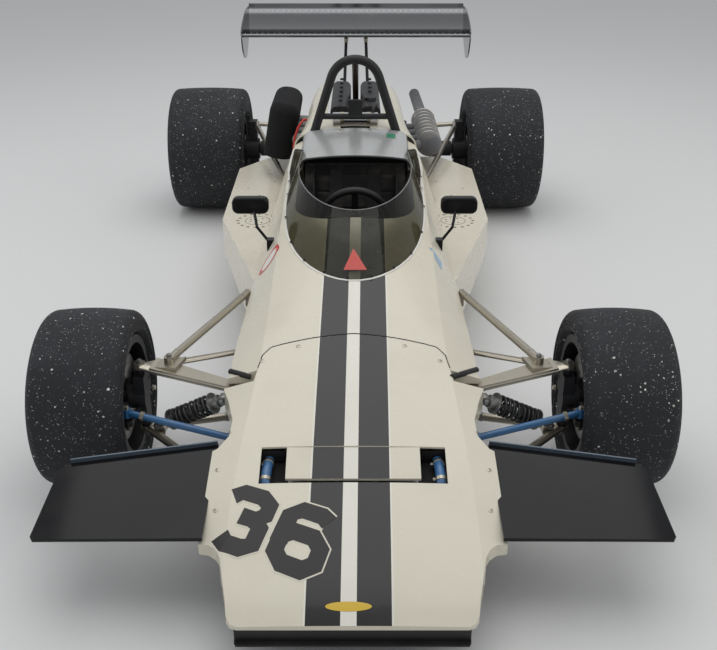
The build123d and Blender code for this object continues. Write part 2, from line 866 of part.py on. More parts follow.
# Exhaust: four pipes from the left side of the head into one lagged pipe and a tail pipe
exhaust_radius = 57
exhaust_x = 335
exhaust_z = 478
with BuildPart() as exhaust:
    for station, landing in ((640, 800), (760, 880), (880, 980), (1000, 1090)):
        bar((head_half, station, exhaust_z + 12), (exhaust_x, landing, exhaust_z), 21)
    bar((exhaust_x, 790, exhaust_z), (exhaust_x, 1240, exhaust_z), exhaust_radius)
    with Locations((exhaust_x, 790, exhaust_z), (exhaust_x, 1240, exhaust_z)):
        Sphere(exhaust_radius)
    bar((exhaust_x, 1240, exhaust_z), (exhaust_x - 15, 1790, exhaust_z + 10), 28)
    bar((exhaust_x, 1500, exhaust_z), (exhaust_x - 15, 1795, exhaust_z + 10), 24, mode=Mode.SUBTRACT)
    block((0, 500, 400), (head_half, 1200, 600), mode=Mode.SUBTRACT)
save(exhaust.part, "exhaust")

# Catch tank: a polished cylinder across the car behind the driver's deck
with BuildPart() as catch_tank:
    bar((-92, 402, 689), (92, 402, 689), 24)
    add(cover_outer, mode=Mode.SUBTRACT)
save(catch_tank.part, "catch_tank")

# Rear wing: a curved plate with a lip, its end plates and the struts that carry it
lip_height = 20
end_plate_thickness = 6
wing_chord = wing_rear_y - wing_front_y
wing_mid_y = wing_front_y + 0.43 * wing_chord
with BuildPart() as rear_wing:
    with BuildSketch(Plane.YZ.offset(-wing_half_span)):
        with BuildLine():
            ThreePointArc(
                (wing_front_y, wing_front_z + 9),
                (wing_mid_y, wing_front_z + 16),
                (wing_rear_y, wing_rear_z + 2),
            )
            Line((wing_rear_y, wing_rear_z + 2), (wing_rear_y, wing_rear_z - 2))
            ThreePointArc(
                (wing_rear_y, wing_rear_z - 2),
                (wing_mid_y + 0.04 * wing_chord, wing_front_z - 8),
                (wing_front_y, wing_front_z - 9),
            )
            ThreePointArc(
                (wing_front_y, wing_front_z - 9),
                (wing_front_y - 9, wing_front_z),
                (wing_front_y, wing_front_z + 9),
            )
        make_face()
    extrude(amount=2 * wing_half_span)
    block(
        (-wing_half_span, wing_rear_y - 3, wing_rear_z),
        (wing_half_span, wing_rear_y + 1, wing_rear_z + lip_height),
    )
save(rear_wing.part, "rear_wing")
with BuildPart() as wing_end_plates:
    with BuildSketch(Plane.YZ.offset(wing_half_span)):
        with BuildLine():
            Spline(
                (wing_rear_y + 7, wing_rear_z + 6),
                (wing_mid_y, wing_front_z + 87),
                (wing_front_y - 35, wing_front_z + 24),
            )
            ThreePointArc(
                (wing_front_y - 35, wing_front_z + 24),
                (wing_front_y + 5, wing_front_z - 78),
                (wing_mid_y, wing_front_z - 132),
            )
            Spline(
                (wing_mid_y, wing_front_z - 132),
                (wing_mid_y + 0.32 * wing_chord, wing_front_z - 70),
                (wing_rear_y + 7, wing_rear_z - 82),
            )
            Line((wing_rear_y + 7, wing_rear_z - 82), (wing_rear_y + 7, wing_rear_z + 6))
        make_face()
    extrude(amount=end_plate_thickness)
    mirror(about=Plane.YZ)
save(wing_end_plates.part, "wing_end_plates")
with BuildPart() as wing_struts:
    bar((50, wing_mid_y, wing_front_z + 7), (69, gearbox_rear_y - 123, 365), 8)
    bar((50, wing_mid_y - 50, wing_front_z + 2), (69, gearbox_rear_y - 30, 365), 8)
    mirror(about=Plane.YZ)
    add(rear_wing.part, mode=Mode.SUBTRACT)
    add(gearbox.part, mode=Mode.SUBTRACT)
save(wing_struts.part, "wing_struts")

# Rear light and the bar under the gearbox that a jack lifts the car by
jack_bar_radius = 12
jack_bar_y = gearbox_rear_y + 52
jack_bar_z = 240
jack_arm_x = 60
jack_collar_x = jack_arm_x + 5
jack_pin_length = 30
with BuildPart() as rear_light:
    block((-35, gearbox_rear_y, 305), (35, gearbox_rear_y + 34, 365))
    fillet(rear_light.edges().filter_by(Axis.Y), 8)
save(rear_light.part, "rear_light")
with BuildPart() as jack_bar:
    for half, radius in (
        (jack_collar_x + jack_pin_length, jack_bar_radius),
        (jack_collar_x + 1, jack_bar_radius + 3),
    ):
        bar((-half, jack_bar_y, jack_bar_z), (half, jack_bar_y, jack_bar_z), radius)
    for side in (-1, 1):
        with Locations((side * jack_arm_x, (gearbox_rear_y + jack_bar_y) / 2, jack_bar_z)):
            Box(10, jack_bar_y - gearbox_rear_y, 30)
save(jack_bar.part, "jack_bar")

# Brackets that carry the suspension on the tub and on the gearbox
upper_bracket_front = (-1140, upper_inner_z)
upper_bracket_rear = (-911, upper_inner_z)
lower_bracket_front = (-1410, lower_inner_z)
lower_bracket_rear = (-1005, lower_inner_z)
# columns: low corner and high corner, on the left side
tub_brackets = [
    ((footbox_half_width - 30, -1424, 114), (footbox_half_width + 4, -1396, 142)),
    ((tub_half_width - 10, -1019, 114), (tub_half_width + 14, -991, 142)),
    ((tub_half_width - 10, -1154, 285), (tub_half_width + 8, -1126, 305)),
    ((tub_half_width - 10, -925, 285), (tub_half_width + 12, -897, 311)),
    ((tub_half_width - 10, -1188, 268), (tub_half_width + 22, -1156, 292)),
    ((tub_half_width - 10, -575, 290), (tub_half_width + 36, -555, 316)),
    ((tub_half_width + 22, -575, 316), (tub_half_width + 36, -555, 345)),
]
with BuildPart() as tub_mounts:
    for low, high in tub_brackets:
        block(low, high)
    mirror(about=Plane.YZ)
    add(tub_form.part, mode=Mode.SUBTRACT)
    for side in (-1, 1):
        with Locations((side * upper_rod[0][0], tub_rear_y - 5, tub_top_z)):
            Box(rod_plate_width, 10, 90, align=(Align.CENTER, Align.CENTER, Align.MIN))
save(tub_mounts.part, "tub_brackets")
# columns: low corner and high corner, on the left side
gearbox_brackets = [
    ((0, 1405, 385), (38, 1435, 445)),
    ((0, 1405, 445), (185, 1435, 462)),
    ((40, 1333, 380), (100, 1357, 416)),
    ((60, 1320, 132), (118, 1360, 190)),
]
with BuildPart() as gearbox_mounts:
    for low, high in gearbox_brackets:
        block(low, high)
    mirror(about=Plane.YZ)
    add(gearbox.part, mode=Mode.SUBTRACT)
save(gearbox_mounts.part, "gearbox_brackets")

# Knuckles: uprights that turn on two ball joints, with the spindle, steering arm and brake caliper
knuckle_gap = 0.3
upper_pad_z = upper_ball_z - ball_height / 2 - knuckle_gap
lower_pad_z = lower_ball_z + ball_height / 2 + knuckle_gap
spindle_end = 735
arm_z = eye_z - 32
hub_z = front_tyre_radius
disc_inner_x = 651
disc_outer_x = 661
disc_radius = 125
caliper_gap = 3
with BuildPart() as knuckle_left:
    block((592, front_axle_y - 28, lower_pad_z + 18), (622, front_axle_y + 28, upper_pad_z - 18))
    bar((kingpin_x, front_axle_y, lower_pad_z), (kingpin_x, front_axle_y, upper_pad_z), 13)
    bar((592, front_axle_y, hub_z), (640, front_axle_y, hub_z), 34)
    bar((600, front_axle_y, hub_z), (spindle_end, front_axle_y, hub_z), axle_radius)
    bar((610, front_axle_y - 20, arm_z), (eye_x, front_axle_y - arm_reach, arm_z), 8)
    bar((eye_x, front_axle_y - arm_reach, arm_z - 8), (eye_x, front_axle_y - arm_reach, arm_z + 10), 13)
    bar((eye_x, front_axle_y - arm_reach, arm_z), (eye_x, front_axle_y - arm_reach, eye_z - 14.5), 6)
    block((600, front_axle_y + 20, hub_z - 18), (636, front_axle_y + 84, hub_z + 18))
    block((634, front_axle_y + 75, hub_z - 40), (678, front_axle_y + 138, hub_z + 40))
    block(
        (disc_inner_x - caliper_gap, front_axle_y + 60, hub_z - 60),
        (disc_outer_x + caliper_gap, front_axle_y + 130, hub_z + 60),
        mode=Mode.SUBTRACT,
    )
with BuildPart() as knuckle_right:
    mirror(knuckle_left.part, about=Plane.YZ)
save(knuckle_left.part, "knuckle_left")
save(knuckle_right.part, "knuckle_right")

# Front upper wishbones, with the plate that the radius rods are bolted to
rod_eye = (524, -1089)
rod_eye_z = 350
with BuildPart() as upper_wishbones:
    with Locations((kingpin_x, front_axle_y, upper_ball_z)):
        Cylinder(ball_radius, ball_height)
    leg((kingpin_x - 5, front_axle_y - 4, upper_ball_z), (tub_half_width - 2, *upper_bracket_front), 40, 16)
    leg((rod_eye[0] + 30, front_axle_y + 8, rod_eye_z), (tub_half_width - 2, *upper_bracket_rear), 26, 14)
    with BuildSketch(Plane.XY.offset(rod_eye_z - 6)):
        Polygon((598, -1124), (500, -1128), (482, -1060), (540, -1072), (598, -1096), align=None)
    extrude(amount=12)
    bar(
        (kingpin_x, front_axle_y, upper_ball_z - ball_height / 2),
        (kingpin_x, front_axle_y, upper_pad_z - 18),
        ball_radius + 2,
        mode=Mode.SUBTRACT,
    )
    mirror(about=Plane.YZ)
    add(tub_form.part, mode=Mode.SUBTRACT)
    add(tub_mounts.part, mode=Mode.SUBTRACT)
save(upper_wishbones.part, "front_upper_wishbones")

# Front lower wishbones
with BuildPart() as lower_wishbones:
    with Locations((kingpin_x, front_axle_y, lower_ball_z)):
        Cylinder(ball_radius, ball_height)
    bar((kingpin_x - 6, front_axle_y - 6, lower_ball_z), (footbox_half_width - 4, *lower_bracket_front), 12)
    bar((kingpin_x - 6, front_axle_y + 4, lower_ball_z), (tub_half_width + 5, *lower_bracket_rear), 12)
    block((545, front_axle_y - 30, lower_ball_z - 6), (585, front_axle_y + 6, lower_ball_z + 6))
    bar(
        (kingpin_x, front_axle_y, lower_ball_z + ball_height / 2),
        (kingpin_x, front_axle_y, lower_pad_z + 18),
        ball_radius + 2,
        mode=Mode.SUBTRACT,
    )
    mirror(about=Plane.YZ)
    add(tub_mounts.part, mode=Mode.SUBTRACT)
save(lower_wishbones.part, "front_lower_wishbones")

# Front springs and dampers
spring_turns = 7
with BuildPart() as front_springs:
    spring_unit((563, -1128, 170), (tub_half_width + 36, -1172, 280))
    mirror(about=Plane.YZ)
    add(lower_wishbones.part, mode=Mode.SUBTRACT)
    add(upper_wishbones.part, mode=Mode.SUBTRACT)
    add(tub_mounts.part, mode=Mode.SUBTRACT)
save(front_springs.part, "front_springs")

# Front radius rods, from the upper wishbones back to the tub
with BuildPart() as front_radius_rods:
    bar((*rod_eye, rod_eye_z + 12), (tub_half_width + 28, -565, 336), rod_radius)
    with Locations((rod_eye[0], rod_eye[1], rod_eye_z + 6)):
        Cylinder(15, 16, align=(Align.CENTER, Align.CENTER, Align.MIN))
    mirror(about=Plane.YZ)
    add(upper_wishbones.part, mode=Mode.SUBTRACT)
    add(tub_mounts.part, mode=Mode.SUBTRACT)
save(front_radius_rods.part, "front_radius_rods")

# Steering rack: the sliding bar and its tie rods, in a housing that stands on the tub's floor
housing_half = 240
housing_radius = 18
with BuildPart() as rack:
    bar((-rack_end_x, rack_y, rack_z), (rack_end_x, rack_y, rack_z), rack_radius)
    for side in (-1, 1):
        bar((side * (rack_end_x - 14), rack_y, rack_z), (side * (rack_end_x + 12), rack_y, rack_z), 15)
        bar(
            (side * rack_end_x, rack_y, rack_z),
            (side * eye_x, front_axle_y - arm_reach, eye_z),
            tie_rod_radius,
        )
        with Locations((side * eye_x, front_axle_y - arm_reach, eye_z)):
            Cylinder(12, 26)
save(rack.part, "steering_rack")
with BuildPart() as rack_housing:
    bar((-housing_half, rack_y, rack_z), (housing_half, rack_y, rack_z), housing_radius)
    block((-25, rack_y - 22, rack_z - 22), (25, rack_y + 26, rack_z + 22))
    for side in (-1, 1):
        block(
            (side * 180 - 10, rack_y - 12, tub_floor_z + floor_thickness),
            (side * 180 + 10, rack_y + 12, rack_z),
        )
    bar((-300, rack_y, rack_z), (300, rack_y, rack_z), rack_radius + running_fit, mode=Mode.SUBTRACT)
save(rack_housing.part, "rack_housing")

# Steering wheel, with its spokes and the column behind it
wheel_centre = (0, wheel_centre_y, wheel_centre_z)
wheel_axis = (0, 1, column_slope)
wheel_plane = Plane(origin=wheel_centre, x_dir=(1, 0, 0), z_dir=wheel_axis)
with BuildPart() as steering_wheel:
    with Locations(wheel_plane):
        Torus(wheel_rim_radius, 13)
        Cylinder(30, 22)
    for angle in (0, 180, 270):
        with Locations(wheel_plane * Rot(0, 0, angle)):
            Box(wheel_rim_radius, 24, 6, align=(Align.MIN, Align.CENTER, Align.CENTER))
    bar(wheel_centre, column_point(column_end_y), column_radius)
save(steering_wheel.part, "steering_wheel")

# Wheels: each side has a tyre, a rim on its hub and a brake disc
# columns: name, centre across, axle station, tyre radius, tyre width, bead seat half width
wheel_rows = [
    ("front", front_wheel_x, front_axle_y, front_tyre_radius, front_tyre_width, 115),
    ("rear", rear_wheel_x, rear_axle_y, rear_tyre_radius, rear_tyre_width, 160),
]
rim_inner = 155
web_low = -27
web_high = -13
window_count = 8
shaft_radius = 25
joint_radius = 38
joint_end_x = upright_x[0] - 15


def ring(profile, place):
    """Solid of revolution about the axle; profile points are (distance outwards, radius)."""
    with BuildSketch(Plane(origin=place, x_dir=(1, 0, 0), z_dir=(0, -1, 0))) as section:
        Polygon(*profile, align=None)
    revolve(section.sketch, axis=Axis(place, (1, 0, 0)))


def tyre_solid(place, radius, width, bead_half):
    """Hollow tyre with a flat tread, rounded shoulders and beads inside the rim's lips."""
    half = width / 2
    low = bead_radius
    neck = rim_lip + 2
    sections = []
    for inset in (0, tyre_wall):
        outer = radius - inset
        side = half - inset
        bead = bead_half - 9 - inset
        shoulder = 30 - inset
        with BuildSketch(Plane(origin=place, x_dir=(1, 0, 0), z_dir=(0, -1, 0))) as section:
            with BuildLine():
                Polyline((-bead, low), (bead, low), (bead, neck), (side, neck + 24), (side, outer - shoulder))
                RadiusArc((side, outer - shoulder), (side - shoulder, outer), -shoulder)
                Line((side - shoulder, outer), (shoulder - side, outer))
                RadiusArc((shoulder - side, outer), (-side, outer - shoulder), -shoulder)
                Polyline((-side, outer - shoulder), (-side, neck + 24), (-bead, neck), (-bead, low))
            make_face()
        sections.append(section.sketch)
    with BuildPart() as tyre:
        revolve(sections[0], axis=Axis(place, (1, 0, 0)))
        revolve(sections[1], axis=Axis(place, (1, 0, 0)), mode=Mode.SUBTRACT)
    return tyre.part


for name, centre_x, station, radius, width, bead_half in wheel_rows:
    place = (centre_x, station, radius)
    tyre = tyre_solid(place, radius, width, bead_half)
    shaft_outer = web_low - 45
    with BuildPart() as rim:
        ring(
            [
                (-bead_half, rim_inner),
                (bead_half, rim_inner),
                (bead_half, rim_lip),
                (bead_half - 7, rim_lip),
                (bead_half - 9, bead_radius),
                (9 - bead_half, bead_radius),
                (7 - bead_half, rim_lip),
                (-bead_half, rim_lip),
            ],
            place,
        )
        disc_profile = [(web_low, 20), (web_high, 20), (web_high, rim_inner + 3), (web_low, rim_inner + 3)]
        ring(disc_profile, place)
        with Locations(Plane(origin=place, z_dir=(1, 0, 0))):
            with PolarLocations(112, window_count):
                Cylinder(22, 100, mode=Mode.SUBTRACT)
        ring([(-72, 15), (-6, 15), (-6, 38), (-52, 38), (-52, 62), (-60, 62), (-60, 38), (-72, 38)], place)
        if name == "front":
            bar(
                (centre_x - 80, station, radius),
                (centre_x - 5.9, station, radius),
                axle_radius + running_fit,
                mode=Mode.SUBTRACT,
            )
        else:
            bar((joint_end_x, station, radius), (centre_x - 6, station, radius), shaft_radius)
            bar((output_x + 1, station, radius), (joint_end_x, station, radius), 14)
            bar((output_x + 1, station, radius), (output_x + 50, station, radius), joint_radius)
            bar((joint_end_x - 55, station, radius), (joint_end_x, station, radius), joint_radius)
            bar((608, station, radius), (616, station, radius), 62)
    disc_low = -88 if name == "front" else -142
    bell_high = -60 if name == "front" else -130
    bell_bore = 38.2 if name == "front" else shaft_radius + 0.2
    with BuildPart() as brake_disc:
        disc_high = disc_low + 10
        ring([(disc_low, 58), (disc_low, disc_radius), (disc_high, disc_radius), (disc_high, 58)], place)
        ring([(disc_low, 52), (bell_high, 52), (bell_high, 62), (disc_low, 62)], place)
        bell_low = bell_high - 6
        ring([(bell_low, bell_bore), (bell_high, bell_bore), (bell_high, 60), (bell_low, 60)], place)
    for side_name, side in (("left", 1), ("right", -1)):
        for label, piece in (("tyre", tyre), ("rim", rim.part), ("disc", brake_disc.part)):
            placed = piece if side == 1 else mirror(piece, about=Plane.YZ)
            save(Part() + placed, f"{label}_{name}_{side_name}")

# Rear uprights, with the brake calipers
hub_bore = shaft_radius + running_fit
foot_low_z = 138
foot_high_z = 175
with BuildPart() as rear_uprights:
    block((upright_x[0], rear_axle_y - 30, foot_low_z), (upright_x[1], rear_axle_y + 30, 450))
    bar(
        (upright_x[0] - 8, rear_axle_y, rear_tyre_radius),
        (upright_x[1] + 23, rear_axle_y, rear_tyre_radius),
        52,
    )
    block((upright_x[0], rear_axle_y - 62, foot_low_z), (upright_x[1], rear_axle_y + 62, foot_high_z))
    block((447, rear_axle_y + 55, foot_low_z), (upright_x[1], rear_axle_y + 98, foot_high_z))
    block((525, rear_axle_y + 20, rear_tyre_radius - 20), (590, rear_axle_y + 90, rear_tyre_radius + 20))
    block((582, rear_axle_y + 75, rear_tyre_radius - 40), (620, rear_axle_y + 135, rear_tyre_radius + 40))
    block(
        (rear_wheel_x - 142 - caliper_gap, rear_axle_y + 66, rear_tyre_radius - 60),
        (rear_wheel_x - 132 + caliper_gap, rear_axle_y + 130, rear_tyre_radius + 60),
        mode=Mode.SUBTRACT,
    )
    bar(
        (upright_x[0] - 15, rear_axle_y, rear_tyre_radius),
        (upright_x[1] + 55, rear_axle_y, rear_tyre_radius),
        hub_bore,
        mode=Mode.SUBTRACT,
    )
    mirror(about=Plane.YZ)
save(rear_uprights.part, "rear_uprights")

# Rear links: the lower wishbones, the top links and the radius rods to the tub
with BuildPart() as rear_links:
    for station in (rear_axle_y - 48, rear_axle_y + 48):
        bar((108, rear_axle_y, 154), (upright_x[0] + 5, station, 156), 11)
    bar((90, rear_axle_y + 5, 402), (upright_x[0] + 5, rear_axle_y + 5, 432), 11)
    mirror(about=Plane.YZ)
    add(gearbox_mounts.part, mode=Mode.SUBTRACT)
    add(rear_uprights.part, mode=Mode.SUBTRACT)
save(rear_links.part, "rear_links")
with BuildPart() as rear_radius_rods:
    bar(upper_rod[0], upper_rod[1], rod_radius)
    bar(lower_rod[0], lower_rod[1], rod_radius)
    mirror(about=Plane.YZ)
    add(tub_form.part, mode=Mode.SUBTRACT)
    add(tub_mounts.part, mode=Mode.SUBTRACT)
    add(rear_uprights.part, mode=Mode.SUBTRACT)
save(rear_radius_rods.part, "rear_radius_rods")
with BuildPart() as rear_springs:
    spring_unit((469, 1420, 184), (170, 1420, 474))
    mirror(about=Plane.YZ)
    add(gearbox_mounts.part, mode=Mode.SUBTRACT)
    add(rear_uprights.part, mode=Mode.SUBTRACT)
save(rear_springs.part, "rear_springs")

# Mirrors: rounded heads on bent stalks that stand on the cowl
mirror_centre = (363, -320, 560)
with BuildPart() as mirrors:
    bar((276, -385, 420), (338, -372, 498), 5)
    with Locations((338, -372, 498)):
        Sphere(5)
    bar((338, -372, 498), (352, -322, 545), 5)
    with BuildPart(mode=Mode.PRIVATE) as head:
        with Locations(mirror_centre):
            Box(128, 26, 60)
        fillet(head.edges().filter_by(Axis.Y), 22)
        fillet(head.faces().sort_by(Axis.Y)[0].edges(), 8)
    add(head.part)
    with Locations((282, -385, 440)):
        Box(44, 30, 40)
    mirror(about=Plane.YZ)
    add(outer_form, mode=Mode.SUBTRACT)
save(mirrors.part, "mirrors")
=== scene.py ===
import json
import math
import random

import bmesh
import bpy
from mathutils import Matrix, Vector
from mathutils.bvhtree import BVHTree


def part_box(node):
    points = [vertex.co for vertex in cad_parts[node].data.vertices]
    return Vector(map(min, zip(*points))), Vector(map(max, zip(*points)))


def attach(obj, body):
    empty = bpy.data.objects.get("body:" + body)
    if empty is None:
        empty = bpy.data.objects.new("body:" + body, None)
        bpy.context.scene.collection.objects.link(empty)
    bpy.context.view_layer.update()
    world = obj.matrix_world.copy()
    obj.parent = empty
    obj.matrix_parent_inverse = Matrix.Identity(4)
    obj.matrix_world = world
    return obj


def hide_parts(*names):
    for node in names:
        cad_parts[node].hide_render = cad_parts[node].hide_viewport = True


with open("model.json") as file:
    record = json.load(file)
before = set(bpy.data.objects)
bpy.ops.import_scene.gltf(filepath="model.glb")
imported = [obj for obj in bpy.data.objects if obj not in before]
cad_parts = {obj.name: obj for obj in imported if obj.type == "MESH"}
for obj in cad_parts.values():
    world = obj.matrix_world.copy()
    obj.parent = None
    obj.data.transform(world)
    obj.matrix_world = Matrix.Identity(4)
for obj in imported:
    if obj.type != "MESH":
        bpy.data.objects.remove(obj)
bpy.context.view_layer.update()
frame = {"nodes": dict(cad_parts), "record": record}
nodes = frame["nodes"]


# Node groups: effects that several materials share
def new_group(name, inputs, outputs):
    """Empty shader node group with named sockets; returns it with its input and output nodes."""
    group = bpy.data.node_groups.new(name, "ShaderNodeTree")
    for label, kind, default in inputs:
        socket = group.interface.new_socket(name=label, in_out="INPUT", socket_type=kind)
        socket.default_value = default
    for label, kind in outputs:
        group.interface.new_socket(name=label, in_out="OUTPUT", socket_type=kind)
    entry = group.nodes.new("NodeGroupInput")
    leave = group.nodes.new("NodeGroupOutput")
    return group, entry, leave


def math_node(tree, operation, first, second=None):
    """Math node whose inputs are sockets or numbers; returns its output."""
    node = tree.nodes.new("ShaderNodeMath")
    node.operation = operation
    for slot_number, value in enumerate((first, second)):
        if value is None:
            continue
        if isinstance(value, (int, float)):
            node.inputs[slot_number].default_value = value
        else:
            tree.links.new(value, node.inputs[slot_number])
    return node.outputs[0]


def smooth_step(tree, value, low, high):
    """Mask that rises from 0 at low to 1 at high."""
    node = tree.nodes.new("ShaderNodeMapRange")
    node.interpolation_type = "SMOOTHSTEP"
    tree.links.new(value, node.inputs["Value"])
    node.inputs["From Min"].default_value = low
    node.inputs["From Max"].default_value = high
    return node.outputs["Result"]


# Sockets of the mix node that carry its factor and its colours
mix_factor = 0
mix_first = 6
mix_second = 7
mix_result = 2


def mix_colour(tree, factor, first, second):
    """Colour mix whose inputs are sockets, numbers or colours; returns its colour output."""
    node = tree.nodes.new("ShaderNodeMix")
    node.data_type = "RGBA"
    for number, value in ((mix_factor, factor), (mix_first, first), (mix_second, second)):
        socket = node.inputs[number]
        if isinstance(value, bpy.types.NodeSocket):
            tree.links.new(value, socket)
        elif isinstance(value, (int, float)):
            socket.default_value = value
        else:
            socket.default_value = (*value, 1.0)
    return node.outputs[mix_result]


def build_dust_group():
    """Dust and stains: cloudy mask that is denser on faces that look up."""
    group, entry, leave = new_group(
        "dust film",
        [("Amount", "NodeSocketFloat", 0.3), ("Scale", "NodeSocketFloat", 6.0)],
        [("Mask", "NodeSocketFloat")],
    )
    place = group.nodes.new("ShaderNodeTexCoord")
    cloud = group.nodes.new("ShaderNodeTexNoise")
    cloud.inputs["Detail"].default_value = 7.0
    cloud.inputs["Roughness"].default_value = 0.62
    group.links.new(place.outputs["Object"], cloud.inputs["Vector"])
    group.links.new(entry.outputs["Scale"], cloud.inputs["Scale"])
    turn = group.nodes.new("ShaderNodeNewGeometry")
    split = group.nodes.new("ShaderNodeSeparateXYZ")
    group.links.new(turn.outputs["Normal"], split.inputs[0])
    upward = smooth_step(group, split.outputs["Z"], -0.2, 0.9)
    cloudy = smooth_step(group, cloud.outputs["Fac"], 0.42, 0.72)
    both = math_node(group, "MULTIPLY", cloudy, math_node(group, "ADD", upward, 0.25))
    group.links.new(math_node(group, "MULTIPLY", both, entry.outputs["Amount"]), leave.inputs["Mask"])
    return group


def build_grain_group():
    """Fine surface grain: a height for Bump and a value that varies the roughness."""
    group, entry, leave = new_group(
        "surface grain",
        [("Scale", "NodeSocketFloat", 300.0), ("Stretch", "NodeSocketVector", (1.0, 1.0, 1.0))],
        [("Height", "NodeSocketFloat"), ("Variation", "NodeSocketFloat")],
    )
    place = group.nodes.new("ShaderNodeTexCoord")
    stretch = group.nodes.new("ShaderNodeVectorMath")
    stretch.operation = "MULTIPLY"
    group.links.new(place.outputs["Object"], stretch.inputs[0])
    group.links.new(entry.outputs["Stretch"], stretch.inputs[1])
    fine = group.nodes.new("ShaderNodeTexNoise")
    fine.inputs["Detail"].default_value = 4.0
    group.links.new(stretch.outputs[0], fine.inputs["Vector"])
    group.links.new(entry.outputs["Scale"], fine.inputs["Scale"])
    coarse = group.nodes.new("ShaderNodeTexNoise")
    coarse.inputs["Detail"].default_value = 5.0
    coarse.inputs["Scale"].default_value = 9.0
    group.links.new(stretch.outputs[0], coarse.inputs["Vector"])
    group.links.new(fine.outputs["Fac"], leave.inputs["Height"])
    group.links.new(coarse.outputs["Fac"], leave.inputs["Variation"])
    return group


def build_speck_group():
    """Specks: a mask of small irregular spots, with a value that differs from spot to spot."""
    group, entry, leave = new_group(
        "specks",
        [
            ("Scale", "NodeSocketFloat", 90.0),
            ("Share", "NodeSocketFloat", 0.3),
            ("Size", "NodeSocketFloat", 0.2),
        ],
        [("Mask", "NodeSocketFloat"), ("Tone", "NodeSocketFloat")],
    )
    place = group.nodes.new("ShaderNodeTexCoord")
    warp = group.nodes.new("ShaderNodeTexNoise")
    warp.inputs["Scale"].default_value = 160.0
    group.links.new(place.outputs["Object"], warp.inputs["Vector"])
    push = group.nodes.new("ShaderNodeVectorMath")
    push.operation = "SCALE"
    push.inputs["Scale"].default_value = 0.006
    group.links.new(warp.outputs["Color"], push.inputs[0])
    moved = group.nodes.new("ShaderNodeVectorMath")
    moved.operation = "ADD"
    group.links.new(place.outputs["Object"], moved.inputs[0])
    group.links.new(push.outputs[0], moved.inputs[1])
    cells = group.nodes.new("ShaderNodeTexVoronoi")
    group.links.new(moved.outputs[0], cells.inputs["Vector"])
    group.links.new(entry.outputs["Scale"], cells.inputs["Scale"])
    tones = group.nodes.new("ShaderNodeSeparateColor")
    group.links.new(cells.outputs["Color"], tones.inputs[0])
    chosen = math_node(group, "LESS_THAN", tones.outputs["Red"], entry.outputs["Share"])
    growth = math_node(group, "ADD", tones.outputs["Blue"], 0.35)
    reach = math_node(group, "MULTIPLY", entry.outputs["Size"], growth)
    near = math_node(group, "LESS_THAN", cells.outputs["Distance"], reach)
    group.links.new(math_node(group, "MULTIPLY", chosen, near), leave.inputs["Mask"])
    group.links.new(tones.outputs["Green"], leave.inputs["Tone"])
    return group


dust_film = build_dust_group()
surface_grain = build_grain_group()
specks = build_speck_group()


def use_group(tree, group, **values):
    """Place a node group in a material with its own input values."""
    node = tree.nodes.new("ShaderNodeGroup")
    node.node_tree = group
    for label, value in values.items():
        node.inputs[label].default_value = value
    return node


def new_material(name, metallic=0.0, roughness=0.5, coat=0.0, coat_roughness=0.05, specular=0.5):
    """Material with a Principled shader; returns the material, its tree and the shader."""
    made = bpy.data.materials.new(name)
    made.use_nodes = True
    shader = made.node_tree.nodes["Principled BSDF"]
    shader.inputs["Metallic"].default_value = metallic
    shader.inputs["Roughness"].default_value = roughness
    shader.inputs["Coat Weight"].default_value = coat
    shader.inputs["Coat Roughness"].default_value = coat_roughness
    shader.inputs["Specular IOR Level"].default_value = specular
    return made, made.node_tree, shader


def add_bump(tree, shader, height, strength, distance=0.001):
    """Feed a height into the shader's normal."""
    bump = tree.nodes.new("ShaderNodeBump")
    bump.inputs["Strength"].default_value = strength
    bump.inputs["Distance"].default_value = distance
    tree.links.new(height, bump.inputs["Height"])
    tree.links.new(bump.outputs["Normal"], shader.inputs["Normal"])


def finish_surface(tree, shader, colour, rough_low, rough_high, grain_scale, grain_bump, dust, dust_colour,
                   stretch=(1.0, 1.0, 1.0)):
    """Colour with a dust film over it, grain in the roughness and in the bump."""
    film = use_group(tree, dust_film, Amount=dust, Scale=5.0)
    grain = use_group(tree, surface_grain, Scale=grain_scale, Stretch=stretch)
    shade = mix_colour(tree, film.outputs["Mask"], colour, dust_colour)
    tree.links.new(shade, shader.inputs["Base Color"])
    spread = tree.nodes.new("ShaderNodeMapRange")
    spread.inputs["To Min"].default_value = rough_low
    spread.inputs["To Max"].default_value = rough_high
    tree.links.new(grain.outputs["Variation"], spread.inputs["Value"])
    duller = math_node(tree, "MULTIPLY", film.outputs["Mask"], 0.3)
    dusty = math_node(tree, "ADD", spread.outputs["Result"], duller)
    tree.links.new(dusty, shader.inputs["Roughness"])
    add_bump(tree, shader, grain.outputs["Height"], grain_bump)


# Colours, in linear light
cream = (0.70, 0.655, 0.535)
stripe_dark = (0.013, 0.0125, 0.0115)
stripe_dust = (0.040, 0.037, 0.032)
stripe_white = (0.78, 0.755, 0.67)
dust_tan = (0.33, 0.29, 0.23)

# Stripes: edges from their middle line, white border, drift across per metre along, its start, rear end
stripe_inner = 0.018
stripe_outer = 0.096
stripe_border = 0.004
stripe_drift = 0.0088
stripe_origin = -0.83
stripe_end = -0.40


